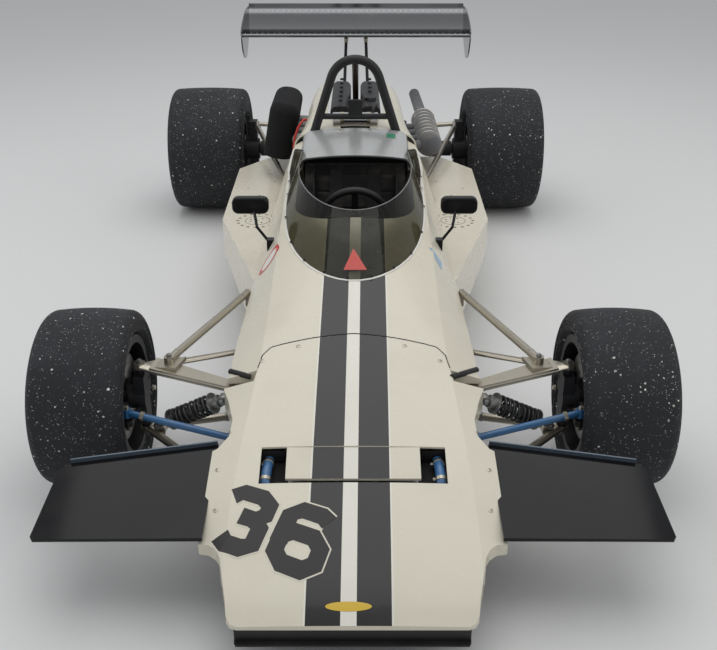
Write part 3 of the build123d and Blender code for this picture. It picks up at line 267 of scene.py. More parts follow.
def build_cream_paint(name, stripe_rear):
    """Glossy ivory paint; with a rear end given, two dark stripes with thin white borders run along it."""
    made, tree, shader = new_material(name, roughness=0.26, coat=0.22, coat_roughness=0.08, specular=0.4)
    colour = cream
    film_colour = dust_tan
    if stripe_rear is not None:
        place = tree.nodes.new("ShaderNodeTexCoord")
        split = tree.nodes.new("ShaderNodeSeparateXYZ")
        tree.links.new(place.outputs["Object"], split.inputs[0])
        along = math_node(tree, "SUBTRACT", split.outputs["Y"], stripe_origin)
        drift = math_node(tree, "MULTIPLY", along, stripe_drift)
        across = math_node(tree, "ABSOLUTE", math_node(tree, "SUBTRACT", split.outputs["X"], drift))
        turn = tree.nodes.new("ShaderNodeNewGeometry")
        turn_split = tree.nodes.new("ShaderNodeSeparateXYZ")
        tree.links.new(turn.outputs["Normal"], turn_split.inputs[0])
        top = math_node(tree, "GREATER_THAN", turn_split.outputs["Z"], 0.3)
        ahead = math_node(tree, "LESS_THAN", split.outputs["Y"], stripe_rear)
        painted = math_node(tree, "MULTIPLY", top, ahead)

        def band(low, high):
            """Mask between two distances from the stripes' middle line."""
            over = math_node(tree, "GREATER_THAN", across, low)
            under = math_node(tree, "LESS_THAN", across, high)
            return math_node(tree, "MULTIPLY", math_node(tree, "MULTIPLY", over, under), painted)

        white = band(0.0, stripe_outer + stripe_border)
        dark = band(stripe_inner, stripe_outer)
        colour = mix_colour(tree, white, cream, stripe_white)
        colour = mix_colour(tree, dark, colour, stripe_dark)
        film_colour = mix_colour(tree, dark, dust_tan, stripe_dust)
    finish_surface(tree, shader, colour, 0.24, 0.30, 420.0, 0.008, 0.08, film_colour)
    return made


def build_plain(name, colour, metallic, rough_low, rough_high, grain_scale, grain_bump, dust,
                coat=0.0, stretch=(1.0, 1.0, 1.0), dust_colour=dust_tan, specular=0.5):
    """Material of one colour with grain, dust and uneven roughness."""
    made, tree, shader = new_material(name, metallic, rough_low, coat, specular=specular)
    finish_surface(tree, shader, colour, rough_low, rough_high, grain_scale, grain_bump, dust,
                   dust_colour, stretch)
    return made


def build_tyre_rubber():
    """Slick rubber: dull black with scuffs and specks of grit and picked-up rubber."""
    made, tree, shader = new_material("tyre rubber", roughness=0.8)
    fine = use_group(tree, specks, Scale=270.0, Share=0.17, Size=0.30)
    coarse = use_group(tree, specks, Scale=80.0, Share=0.11, Size=0.22)
    film = use_group(tree, dust_film, Amount=0.5, Scale=9.0)
    grain = use_group(tree, surface_grain, Scale=240.0)
    base = mix_colour(tree, film.outputs["Mask"], (0.0095, 0.0105, 0.0135), (0.030, 0.032, 0.037))
    grit = mix_colour(tree, fine.outputs["Tone"], (0.16, 0.155, 0.145), (0.50, 0.49, 0.46))
    stone = mix_colour(tree, coarse.outputs["Tone"], (0.30, 0.28, 0.24), (0.82, 0.81, 0.77))
    colour = mix_colour(tree, fine.outputs["Mask"], base, grit)
    colour = mix_colour(tree, coarse.outputs["Mask"], colour, stone)
    tree.links.new(colour, shader.inputs["Base Color"])
    spread = tree.nodes.new("ShaderNodeMapRange")
    spread.inputs["To Min"].default_value = 0.58
    spread.inputs["To Max"].default_value = 0.86
    tree.links.new(grain.outputs["Variation"], spread.inputs["Value"])
    tree.links.new(spread.outputs["Result"], shader.inputs["Roughness"])
    stones = math_node(tree, "MULTIPLY", coarse.outputs["Mask"], 1.5)
    lumps = math_node(tree, "ADD", grain.outputs["Height"], stones)
    add_bump(tree, shader, lumps, 0.5, 0.0012)
    return made


def build_screen():
    """Clear sheet with a light smoke tint."""
    made, tree, shader = new_material("clear screen", roughness=0.03)
    shader.inputs["Transmission Weight"].default_value = 1.0
    shader.inputs["IOR"].default_value = 1.25
    film = use_group(tree, dust_film, Amount=0.04, Scale=5.0)
    tint = mix_colour(tree, film.outputs["Mask"], (0.36, 0.355, 0.29), (0.33, 0.32, 0.28))
    tree.links.new(tint, shader.inputs["Base Color"])
    return made


def build_weave(name, colour, scale, bump):
    """Woven cloth: two crossing sets of threads, with a soft sheen."""
    made, tree, shader = new_material(name, roughness=0.9)
    shader.inputs["Sheen Weight"].default_value = 0.25
    place = tree.nodes.new("ShaderNodeTexCoord")
    waves = []
    for direction in ("X", "Z"):
        wave = tree.nodes.new("ShaderNodeTexWave")
        wave.bands_direction = direction
        wave.inputs["Scale"].default_value = scale
        tree.links.new(place.outputs["Object"], wave.inputs["Vector"])
        waves.append(wave.outputs["Fac"])
    threads = math_node(tree, "MULTIPLY", waves[0], waves[1])
    film = use_group(tree, dust_film, Amount=0.25, Scale=12.0)
    lighter = tuple(min(1.0, part * 2.2 + 0.01) for part in colour)
    shade = mix_colour(tree, threads, colour, lighter)
    shade = mix_colour(tree, film.outputs["Mask"], shade, dust_tan)
    tree.links.new(shade, shader.inputs["Base Color"])
    add_bump(tree, shader, threads, bump, 0.0008)
    return made


# columns: finish, name, colour, metallic, roughness from and to, grain scale, grain bump, dust, the rest
plain_rows = [
    ("silver_paint", "silver deck paint", (0.60, 0.61, 0.60), 0.55, 0.20, 0.30, 500.0, 0.02, 0.06,
     {"coat": 0.2}),
    ("black_gloss", "black gloss paint", (0.007, 0.007, 0.008), 0.0, 0.06, 0.11, 350.0, 0.01, 0.12,
     {"dust_colour": (0.035, 0.033, 0.031), "specular": 0.22}),
    # Fin lips: black paint coloured blue-grey, a painted sky reflection
    ("fin_lip_sky_reflection", "fin edge paint", (0.095, 0.125, 0.160), 0.2, 0.10, 0.18, 350.0, 0.01, 0.12,
     {"dust_colour": (0.10, 0.10, 0.10)}),
    ("black_satin", "black satin paint", (0.011, 0.011, 0.012), 0.0, 0.34, 0.5, 260.0, 0.05, 0.2,
     {"dust_colour": (0.06, 0.057, 0.054), "specular": 0.4}),
    ("tub_metal", "tub sheet", (0.46, 0.46, 0.45), 0.85, 0.36, 0.52, 60.0, 0.04, 0.4,
     {"stretch": (4.0, 0.4, 4.0)}),
    ("polished_aluminium", "polished aluminium", (0.66, 0.67, 0.69), 1.0, 0.13, 0.24, 40.0, 0.02, 0.12,
     {"stretch": (0.3, 9.0, 9.0)}),
    # Wing: polished metal with a dark base colour, a painted reflection of dark surroundings
    ("wing_dark_reflection_metal", "wing sheet", (0.21, 0.215, 0.22), 1.0, 0.07, 0.13, 40.0, 0.02, 0.06,
     {"stretch": (0.3, 9.0, 9.0)}),
    ("cast_alloy", "cast alloy", (0.30, 0.30, 0.30), 0.75, 0.48, 0.66, 170.0, 0.35, 0.35, {}),
    ("dark_metal", "dark metal", (0.028, 0.028, 0.031), 0.5, 0.42, 0.6, 200.0, 0.15, 0.2,
     {"dust_colour": (0.12, 0.11, 0.10)}),
    ("nickel", "nickel plate", (0.50, 0.46, 0.38), 0.95, 0.20, 0.38, 240.0, 0.05, 0.3, {}),
    ("blue_paint", "blue enamel", (0.030, 0.135, 0.31), 0.1, 0.24, 0.4, 300.0, 0.03, 0.2, {"coat": 0.4}),
    ("rim_metal", "rim metal", (0.026, 0.026, 0.029), 0.5, 0.34, 0.5, 200.0, 0.08, 0.2,
     {"dust_colour": (0.12, 0.11, 0.10)}),
    ("disc_iron", "disc iron", (0.36, 0.35, 0.34), 0.95, 0.26, 0.42, 50.0, 0.06, 0.1, {}),
    ("filter", "filter foam", (0.008, 0.008, 0.009), 0.0, 0.82, 0.96, 330.0, 0.9, 0.2,
     {"dust_colour": (0.05, 0.047, 0.043), "specular": 0.3}),
    ("lamp", "lamp lens", (0.30, 0.012, 0.010), 0.0, 0.10, 0.2, 120.0, 0.05, 0.1, {"coat": 0.5}),
    ("number_paint", "number paint", stripe_dark, 0.0, 0.26, 0.4, 350.0, 0.02, 0.10,
     {"coat": 0.15, "dust_colour": stripe_dust, "specular": 0.35}),
    ("white_paint", "white trim", (0.78, 0.76, 0.70), 0.0, 0.3, 0.45, 300.0, 0.02, 0.14, {"coat": 0.2}),
    ("yellow_paint", "yellow mark", (0.68, 0.45, 0.03), 0.0, 0.3, 0.45, 300.0, 0.02, 0.12, {"coat": 0.2}),
    ("red_paint", "red mark", (0.55, 0.035, 0.022), 0.0, 0.3, 0.45, 300.0, 0.02, 0.12, {"coat": 0.2}),
    ("green_paint", "green mark", (0.035, 0.24, 0.13), 0.0, 0.3, 0.45, 300.0, 0.02, 0.12, {"coat": 0.2}),
    ("sky_paint", "sky mark", (0.28, 0.46, 0.62), 0.0, 0.3, 0.45, 300.0, 0.02, 0.12, {"coat": 0.2}),
    ("rim_bead", "screen bead", (0.20, 0.21, 0.20), 0.1, 0.12, 0.2, 200.0, 0.02, 0.1, {"coat": 0.5}),
    # Flat black; on the vent sheets, the brake disc hole dots and the pod hole marks it is painted shade
    ("vent_black", "duct black", (0.007, 0.007, 0.008), 0.0, 0.6, 0.8, 200.0, 0.1, 0.15,
     {"dust_colour": (0.03, 0.028, 0.026), "specular": 0.3}),
    ("rubber_black", "moulded rubber", (0.018, 0.018, 0.019), 0.0, 0.55, 0.75, 220.0, 0.2, 0.25,
     {"dust_colour": (0.09, 0.085, 0.08)}),
    ("spring_black", "spring coating", (0.020, 0.020, 0.022), 0.0, 0.32, 0.48, 240.0, 0.08, 0.3,
     {"coat": 0.3, "dust_colour": (0.10, 0.095, 0.09)}),
    ("damper_metal", "zinc plate", (0.34, 0.34, 0.33), 0.9, 0.28, 0.46, 200.0, 0.08, 0.3, {}),
    ("mirror_glass", "mirror glass", (0.80, 0.81, 0.82), 1.0, 0.02, 0.06, 60.0, 0.005, 0.08, {}),
    ("dial_face", "dial face", (0.012, 0.012, 0.013), 0.0, 0.35, 0.5, 200.0, 0.02, 0.05, {}),
    ("lead_orange", "plug lead", (0.62, 0.16, 0.03), 0.0, 0.4, 0.55, 200.0, 0.05, 0.25, {}),
    ("grip_leather", "grip leather", (0.020, 0.019, 0.018), 0.0, 0.42, 0.62, 260.0, 0.5, 0.15, {}),
    ("thread", "thread", (0.30, 0.29, 0.27), 0.0, 0.7, 0.85, 400.0, 0.2, 0.1, {}),
]
materials = {
    "striped_paint": build_cream_paint("striped ivory paint", stripe_end),
    "cream_paint": build_cream_paint("ivory paint", None),
    "screen": build_screen(),
    "tyre": build_tyre_rubber(),
    "seat_trim": build_weave("seat cloth", (0.012, 0.012, 0.013), 420.0, 0.5),
    "belt": build_weave("belt webbing", (0.018, 0.018, 0.019), 520.0, 0.7),
    "lagging": build_weave("exhaust wrap", (0.085, 0.088, 0.095), 150.0, 0.9),
}
for finish, name, *measures, others in plain_rows:
    materials[finish] = build_plain(name, *measures, **others)

# Nodes that differ from their slot's usual material
node_finishes = {
    "nose_cowl": "striped_paint",
    "cockpit_cowl": "striped_paint",
    # Wing and end plates: dark base colour is a painted reflection on polished metal
    "rear_wing": "wing_dark_reflection_metal",
    "wing_end_plates": "wing_dark_reflection_metal",
    "rear_uprights": "dark_metal",
}
for entry in frame["record"]["subparts"]:
    node = nodes[entry["node"]]
    finish_name = node_finishes.get(entry["node"], entry["material_slot"])
    node.data.materials.clear()
    node.data.materials.append(materials[finish_name])


# Distances under this count as none
tiny = 1e-6


# Mesh helpers
def add_piece(name, builder, finish, body, angle=32.0):
    """Turn a bmesh into a piece that rides on a body; edges sharper than the angle stay sharp."""
    mesh = bpy.data.meshes.new(name)
    bmesh.ops.recalc_face_normals(builder, faces=builder.faces)
    builder.to_mesh(mesh)
    builder.free()
    piece = bpy.data.objects.new(name, mesh)
    bpy.context.scene.collection.objects.link(piece)
    mesh.materials.append(materials[finish])
    for face in mesh.polygons:
        face.use_smooth = True
    mesh.set_sharp_from_angle(angle=math.radians(angle))
    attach(piece, body)
    return piece


def tube(builder, points, radius, sides=10, closed=False):
    """Round tube along a line of points, with flat ends; a list of radii has one for each point."""
    points = [Vector(point) for point in points]
    count = len(points)
    rings = []
    side = None
    for index, point in enumerate(points):
        if closed:
            ahead = points[(index + 1) % count] - points[index - 1]
        else:
            ahead = points[min(index + 1, count - 1)] - points[max(index - 1, 0)]
        ahead.normalize()
        if side is None:
            seed = Vector((0, 0, 1)) if abs(ahead.z) < 0.9 else Vector((1, 0, 0))
            side = ahead.cross(seed).normalized()
        side = (side - ahead * side.dot(ahead)).normalized()
        up = ahead.cross(side)
        reach = radius[index] if isinstance(radius, list) else radius
        ring = []
        for step in range(sides):
            turn = 2 * math.pi * step / sides
            ring.append(builder.verts.new(point + reach * (math.cos(turn) * side + math.sin(turn) * up)))
        rings.append(ring)
    pairs = list(zip(rings, rings[1:]))
    if closed:
        pairs.append((rings[-1], rings[0]))
    for low, high in pairs:
        for step in range(sides):
            ahead_step = (step + 1) % sides
            builder.faces.new((low[step], low[ahead_step], high[ahead_step], high[step]))
    if not closed:
        builder.faces.new(list(reversed(rings[0])))
        builder.faces.new(rings[-1])


def frame_from(axis, place):
    """Matrix that puts local Z along an axis at a place."""
    turn = Vector(axis).normalized().to_track_quat("Z", "Y").to_matrix().to_4x4()
    return Matrix.Translation(Vector(place)) @ turn


def lathe(builder, profile, place, axis, steps=40):
    """Solid of revolution; profile points are (radius, distance along the axis)."""
    matrix = frame_from(axis, place)
    rings = []
    for step in range(steps):
        turn = 2 * math.pi * step / steps
        rings.append([
            builder.verts.new(matrix @ Vector((radius * math.cos(turn), radius * math.sin(turn), along)))
            for radius, along in profile
        ])
    for low, high in zip(rings, rings[1:] + rings[:1]):
        for index in range(len(profile) - 1):
            corners = [low[index], high[index], high[index + 1], low[index + 1]]
            if profile[index][0] < tiny:
                corners = [low[index], high[index + 1], low[index + 1]]
            elif profile[index + 1][0] < tiny:
                corners = [low[index], high[index], low[index + 1]]
            builder.faces.new(corners)


def soft_box(builder, low, high, bevel, matrix=None, segments=2):
    """Block with rounded edges between two corners."""
    low = Vector(low)
    high = Vector(high)
    made = bmesh.ops.create_cube(builder, size=1.0)["verts"]
    for vert in made:
        vert.co = Vector((
            low.x if vert.co.x < 0 else high.x,
            low.y if vert.co.y < 0 else high.y,
            low.z if vert.co.z < 0 else high.z,
        ))
    edges = list(dict.fromkeys(edge for vert in made for edge in vert.link_edges))
    result = bmesh.ops.bevel(
        builder, geom=edges, offset=bevel, segments=segments, profile=0.5, affect="EDGES",
    )
    if matrix is not None:
        verts = {vert for face in result["faces"] for vert in face.verts}
        reach = set(verts)
        for vert in verts:
            for edge in vert.link_edges:
                reach.add(edge.other_vert(vert))
        for vert in reach:
            vert.co = matrix @ vert.co


def hex_head(builder, place, axis, across=0.013, height=0.008, washer=True):
    """Bolt head with a chamfered hexagon on a washer."""
    half = across / math.sqrt(3)
    base = 0.0
    if washer:
        base = 0.0015
        rim = half * 1.25
        lathe(builder, [(0.0, 0.0), (rim, 0.0), (rim, base), (0.0, base)], place, axis, 16)
    top = base + height
    profile = [(half, base), (half, base + height * 0.8), (half * 0.84, top), (0.0, top)]
    lathe(builder, profile, place, axis, 6)


def screw_head(builder, place, axis, radius=0.006, height=0.002):
    """Low domed head with a recess."""
    profile = [
        (radius, 0.0),
        (radius * 0.95, height * 0.6),
        (radius * 0.6, height),
        (radius * 0.28, height),
        (radius * 0.24, height * 0.35),
        (0.0, height * 0.35),
    ]
    lathe(builder, profile, place, axis, 14)


def rivet_row(builder, start, end, axis, pitch=0.03):
    """Row of rivet heads between two points."""
    start = Vector(start)
    end = Vector(end)
    radius = 0.0035
    count = max(1, round((end - start).length / pitch))
    for step in range(count + 1):
        place = start.lerp(end, step / count)
        lathe(builder, [(radius, 0.0), (radius * 0.8, 0.0012), (0.0, 0.0018)], place, axis, 8)


def on_side(side, point):
    """A point or direction of the left side where side is 1, its mirror image where side is -1."""
    return Vector((side * point[0], point[1], point[2]))


def surface(*names):
    """Search tree of the faces of some nodes."""
    verts = []
    faces = []
    for name in names:
        mesh = nodes[name].data
        offset = len(verts)
        verts.extend(vert.co.copy() for vert in mesh.vertices)
        faces.extend([offset + index for index in face.vertices] for face in mesh.polygons)
    return BVHTree.FromPolygons(verts, faces)


# Camera, as fitted to the picture, with the picture's size and middle in pixels
camera_place = Vector((0.01303, -3.45665, 1.62459))
camera_tilt = math.pi / 2 - 0.45349
camera_lens = 47.413
camera_sensor = 36.0
picture_width = 717
picture_middle = (358.5, 325.0)

# Height over every part of the car, from which straight drops start
over_all = 1.2


def seen_at(tree, across, down):
    """Point of a surface that the camera sees at a place in the picture, with its normal."""
    reach = camera_lens / camera_sensor * picture_width
    ray = Vector(((across - picture_middle[0]) / reach, (picture_middle[1] - down) / reach, -1.0))
    ray = Matrix.Rotation(camera_tilt, 3, "X") @ ray
    place, normal, _, _ = tree.ray_cast(camera_place, ray.normalized())
    return place, normal


def drop_on(tree, across, along):
    """Point on a surface straight below a place over the car, with its normal."""
    place, normal, _, _ = tree.ray_cast(Vector((across, along, over_all)), Vector((0, 0, -1)))
    return place, normal


body_tree = surface("nose_cowl", "cockpit_cowl", "engine_cover", "side_pod_left", "side_pod_right")
nose_tree = surface("nose_cowl")
cowl_tree = surface("cockpit_cowl")
deck_tree = surface("head_fairing")
screen_tree = surface("windscreen")


def painted_patch(name, outlines, finish, lift, cuts, slot="cream_paint", extras=None):
    """Thin painted shape on the body; outlines are lists of plan points, extras their further lifts."""
    tree = body_tree if slot == "cream_paint" else deck_tree
    builder = bmesh.new()
    raised = builder.verts.layers.float.new("raised")
    for index, outline in enumerate(outlines):
        corners = [builder.verts.new((x, y, 0.0)) for x, y in outline]
        for vert in corners:
            vert[raised] = extras[index] if extras else 0.0
        face = builder.faces.new(corners)
        if len(outline) > 4:
            bmesh.ops.triangulate(builder, faces=[face])
    if cuts:
        bmesh.ops.subdivide_edges(builder, edges=list(builder.edges), cuts=cuts, use_grid_fill=True)
    lost = []
    for vert in builder.verts:
        place, normal = drop_on(tree, vert.co.x, vert.co.y)
        if place is None:
            lost.append(vert)
            continue
        if normal.z < 0:
            normal = -normal
        vert.co = place + normal * (lift + vert[raised])
    bmesh.ops.delete(builder, geom=lost, context="VERTS")
    add_piece(name, builder, finish, "chassis")


# Racing number: a plain pair of digits as broad strokes on the nose
number_height = 0.180
number_spread = 1.38
number_stroke = 0.044
number_edge = 0.004
number_turn = math.radians(-20)
stroke_lift = 0.00015
fill_lift = -0.0001

# Strokes of each digit, as points in its own height
digit_strokes = {
    "three": [
        [(0.12, 0.78), (0.20, 0.88), (0.40, 0.88), (0.50, 0.79), (0.50, 0.64), (0.42, 0.54), (0.27, 0.54)],
        [(0.40, 0.54), (0.50, 0.45), (0.50, 0.21), (0.40, 0.12), (0.25, 0.12), (0.17, 0.20)],
    ],
    "six": [
        [(0.10, 0.24), (0.20, 0.12), (0.40, 0.12), (0.50, 0.24), (0.50, 0.44), (0.40, 0.56), (0.20, 0.56),
         (0.10, 0.44), (0.10, 0.24)],
        [(0.48, 0.82), (0.40, 0.88), (0.20, 0.88), (0.10, 0.76), (0.10, 0.36)],
    ],
}

# Places where the light edge colour shows through a figure
digit_fills = {
    "three": [],
    "six": [
        [(0.14, 0.20), (0.46, 0.20), (0.46, 0.50), (0.14, 0.50)],
        [(0.14, 0.56), (0.44, 0.60), (0.45, 0.80), (0.14, 0.84)],
    ],
}

number_spot, _ = seen_at(nose_tree, 267, 527)


def number_point(across, up):
    """Plan point of the number, turned and placed on the car."""
    flat = Vector((across * number_height * number_spread, up * number_height))
    return number_spot.xy + Matrix.Rotation(number_turn, 2) @ flat


def stroke_shapes(points, half):
    """Quads of a broad line along a stroke's points, with square ends."""
    placed = [number_point(across, up) for across, up in points]
    edges = []
    closed = (placed[0] - placed[-1]).length < tiny
    for index, point in enumerate(placed):
        ahead = placed[min(index + 1, len(placed) - 1)] - placed[max(index - 1, 0)]
        if closed and index in (0, len(placed) - 1):
            ahead = placed[1] - placed[-2]
        side = Vector((-ahead.y, ahead.x)).normalized() * half
        edges.append((point + side, point - side))
    return [
        [tuple(left), tuple(right), tuple(next_right), tuple(next_left)]
        for (left, right), (next_left, next_right) in zip(edges, edges[1:])
    ]


def disc_outline(across, along, half_across, half_along):
    """Plan points of an ellipse."""
    steps = 28
    turns = [2 * math.pi * step / steps for step in range(steps)]
    return [(across + half_across * math.cos(turn), along + half_along * math.sin(turn)) for turn in turns]


for layer, half, finish, lift in (
    ("edge", number_stroke / 2 + number_edge, "cream_paint", 0.0005),
    ("figures", number_stroke / 2, "number_paint", 0.0009),
):
    shapes = []
    extras = []
    for digit, shift in (("three", -0.56), ("six", 0.06)):
        for order, points in enumerate(digit_strokes[digit]):
            made = stroke_shapes([(across + shift, up - 0.5) for across, up in points], half)
            shapes += made
            extras += [stroke_lift * order] * len(made)
        for outline in digit_fills[digit] if layer == "edge" else []:
            shapes.append([tuple(number_point(across + shift, up - 0.5)) for across, up in outline])
            extras.append(fill_lift)
    painted_patch(f"nose_number_{layer}", shapes, finish, lift, 1, extras=extras)

# Plain marks: oval on the nose, ring and flag shape on the cowl, square on the deck
yellow_spot, _ = seen_at(nose_tree, 348.5, 606.5)
oval = disc_outline(yellow_spot.x, yellow_spot.y, 0.052, 0.0095)
painted_patch("nose_oval", [oval], "yellow_paint", 0.0007, 2)
ring_spot, _ = seen_at(cowl_tree, 269, 260)
ring_inner = 0.026
ring_outer = 0.036
ring_stretch = 1.2
ring_quads = []
ring_count = 36
for ring_step in range(ring_count):
    start = 2 * math.pi * ring_step / ring_count
    end = 2 * math.pi * (ring_step + 1) / ring_count
    ring_quads.append([
        (ring_spot.x + reach * math.cos(turn), ring_spot.y + ring_stretch * reach * math.sin(turn))
        for reach, turn in ((ring_inner, start), (ring_outer, start), (ring_outer, end), (ring_inner, end))
    ])
painted_patch("cowl_ring", ring_quads, "red_paint", 0.0006, 1)
ring_field = disc_outline(ring_spot.x, ring_spot.y, ring_inner, ring_stretch * ring_inner)
painted_patch("cowl_ring_field", [ring_field], "white_paint", 0.0005, 2)
square = ((-0.018, -0.022), (0.018, -0.022), (0.018, 0.022), (-0.018, 0.022))
flag = ((-0.024, 0.030), (0.022, 0.024), (0.016, -0.040))
for name, tree, across, down, corners, finish, cuts, slot in (
    ("deck_square", deck_tree, 391, 136, square, "green_paint", 2, "silver_paint"),
    ("cowl_flag", cowl_tree, 436, 258, flag, "sky_paint", 3, "cream_paint"),
):
    spot, _ = seen_at(tree, across, down)
    painted_patch(name, [[(spot.x + x, spot.y + y) for x, y in corners]], finish, 0.0006, cuts, slot)

# Windscreen: its two rings, as in the model
# columns: half width, length, middle station, rear station, height in front, slope of the ring
screen_rings = [
    (0.259, 0.616, -0.215, 0.330, 0.430, 0.131),
    (0.210, 0.462, -0.026, 0.112, 0.600, 0.056),
]


def screen_point(ring, share):
    """Point on a screen ring's outer line; share runs from 0 at the left rear to 1 at the right rear."""
    half, length, middle, rear, low_z, slope = ring
    front = middle - length
    side_end = rear - front
    straight = 0.2
    tuck = 0.008
    if share < straight:
        part = share / straight
        across, along = half - tuck * (1 - part), side_end + (length - side_end) * part
    elif share > 1 - straight:
        part = (1 - share) / straight
        across, along = -(half - tuck * (1 - part)), side_end + (length - side_end) * part
    else:
        turn = math.pi * (share - straight) / (1 - 2 * straight)
        across, along = half * math.cos(turn), length - length * math.sin(turn)
    unit = 1 / math.sqrt(1 + slope * slope)
    return Vector((across, front + along * unit, low_z + along * slope * unit))


screen_steps = 120
screen_base = []
screen_rim = []
for step in range(screen_steps + 1):
    share = step / screen_steps
    low = screen_point(screen_rings[0], share)
    high = screen_point(screen_rings[1], share)
    spot, _, _, _ = cowl_tree.ray_cast(high, (low - high).normalized())
    screen_rim.append(high)
    if spot is not None:
        screen_base.append(spot)


def edge_strip(name, line, width, height, finish):
    """Strip with a low rounded section that follows a line on the cowl."""
    builder = bmesh.new()
    sides = 8
    tube(builder, line, 1.0, sides)
    for index, vert in enumerate(builder.verts):
        station = index // sides
        spot = line[station]
        ahead = (line[min(station + 1, len(line) - 1)] - line[max(station - 1, 0)]).normalized()
        away = vert.co - spot
        up = (Vector((0, 0, 1)) - ahead * ahead.z).normalized()
        flat = ahead.cross(up)
        vert.co = spot + flat * away.dot(flat) * width / 2 + up * away.dot(up) * height / 2
    add_piece(name, builder, finish, "chassis")


edge_strip("screen_base_strip", screen_base, 0.009, 0.005, "white_paint")
rim_builder = bmesh.new()
tube(rim_builder, screen_rim, 0.0018, 8)
add_piece("screen_rim_bead", rim_builder, "rim_bead", "chassis")
side_rubber = bmesh.new()
for share in (0.0, 1.0):
    ends = [screen_point(ring, share) for ring in screen_rings]
    tube(side_rubber, [ends[0].lerp(ends[1], 0.28 + 0.72 * step / 6) for step in range(7)], 0.004, 8)
add_piece("screen_side_rubber", side_rubber, "rubber_black", "chassis")
screen_screws = bmesh.new()
for index in range(6, len(screen_base) - 6, 7):
    spot = Vector(screen_base[index])
    away = Vector((spot.x, spot.y + 0.2, 0.25)).normalized()
    screw_head(screen_screws, spot + Vector((0, 0, 0.008)) - away * 0.001, away, 0.0045, 0.002)
add_piece("screen_screws", screen_screws, "black_satin", "chassis")

# Triangle on the front of the screen
mark_builder = bmesh.new()
mark_corners = ((353.5, 248.5), (367.0, 270.0), (343.5, 270.0))
grid = 6
mark_rows = []
for row in range(grid + 1):
    line = []
    for column in range(row + 1):
        first = 1 - row / grid
        second = column / grid
        weights = (first, second, 1 - first - second)
        across, down = (
            sum(weight * corner[axis] for weight, corner in zip(weights, mark_corners)) for axis in (0, 1)
        )
        spot, normal = seen_at(screen_tree, across, down)
        if normal.y > 0:
            normal = -normal
        line.append(mark_builder.verts.new(spot + normal * 0.0008))
    mark_rows.append(line)
for row in range(grid):
    for column in range(row + 1):
        here = mark_rows[row][column]
        beyond = mark_rows[row + 1][column + 1]
        mark_builder.faces.new((here, beyond, mark_rows[row + 1][column]))
        if column < row:
            mark_builder.faces.new((here, mark_rows[row][column + 1], beyond))
add_piece("screen_mark", mark_builder, "red_paint", "chassis")

# Vent in the nose: dark sheets, painted shade for the inside of the vent wells, and the blue hoses in its
# two corners
vent_shade_builder = bmesh.new()
roof_slope = math.atan2(0.075, 0.340)
vent_half = 0.036
for side in (-1, 1):
    vent_x = side * 0.200
    matrix = Matrix.Translation((vent_x, -1.500, 0.2350)) @ Matrix.Rotation(roof_slope, 4, "X")
    soft_box(vent_shade_builder, (-vent_half, -0.058, -0.0004), (vent_half, 0.064, 0.0012), 0.0003, matrix, 1)
    soft_box(vent_shade_builder, (vent_x - vent_half, -1.441, 0.240), (vent_x + vent_half, -1.437, 0.285), 0.0012)
soft_box(vent_shade_builder, (-0.166, -1.530, 0.2290), (0.166, -1.526, 0.2440), 0.0004, segments=1)
add_piece("vent_well_shade_sheets", vent_shade_builder, "vent_black", "chassis")
hose_builder = bmesh.new()
clamp_builder = bmesh.new()
hose_points = [
    (0.214, -1.443, 0.258),
    (0.215, -1.462, 0.262),
    (0.216, -1.484, 0.264),
    (0.217, -1.506, 0.262),
    (0.218, -1.526, 0.254),
    (0.218, -1.540, 0.240),
]
hose_splits = 4
hose_smoothings = 3
clamp_profile = [(0.0131, -0.005), (0.0148, -0.0045), (0.0148, 0.0045), (0.0131, 0.005)]
for side in (-1, 1):
    line = [on_side(side, point) for point in hose_points]
    curve = []
    for low, high in zip(line, line[1:]):
        curve += [low.lerp(high, part / hose_splits) for part in range(hose_splits)]
    curve.append(line[-1])
    for _ in range(hose_smoothings):
        inner = [(low + spot * 2 + high) / 4 for low, spot, high in zip(curve, curve[1:], curve[2:])]
        curve = [curve[0], *inner, curve[-1]]
    tube(hose_builder, curve, 0.0130, 14)
    for index in (4, 15):
        ahead = curve[index + 1] - curve[index - 1]
        lathe(clamp_builder, clamp_profile, curve[index], ahead, 20)
        across = ahead.cross(Vector((0, 0, 1))).normalized()
        hex_head(clamp_builder, curve[index] + across * 0.0145, across, 0.007, 0.006, washer=False)
add_piece("vent_hoses", hose_builder, "blue_paint", "chassis")
add_piece("vent_hose_clamps", clamp_builder, "nickel", "chassis")

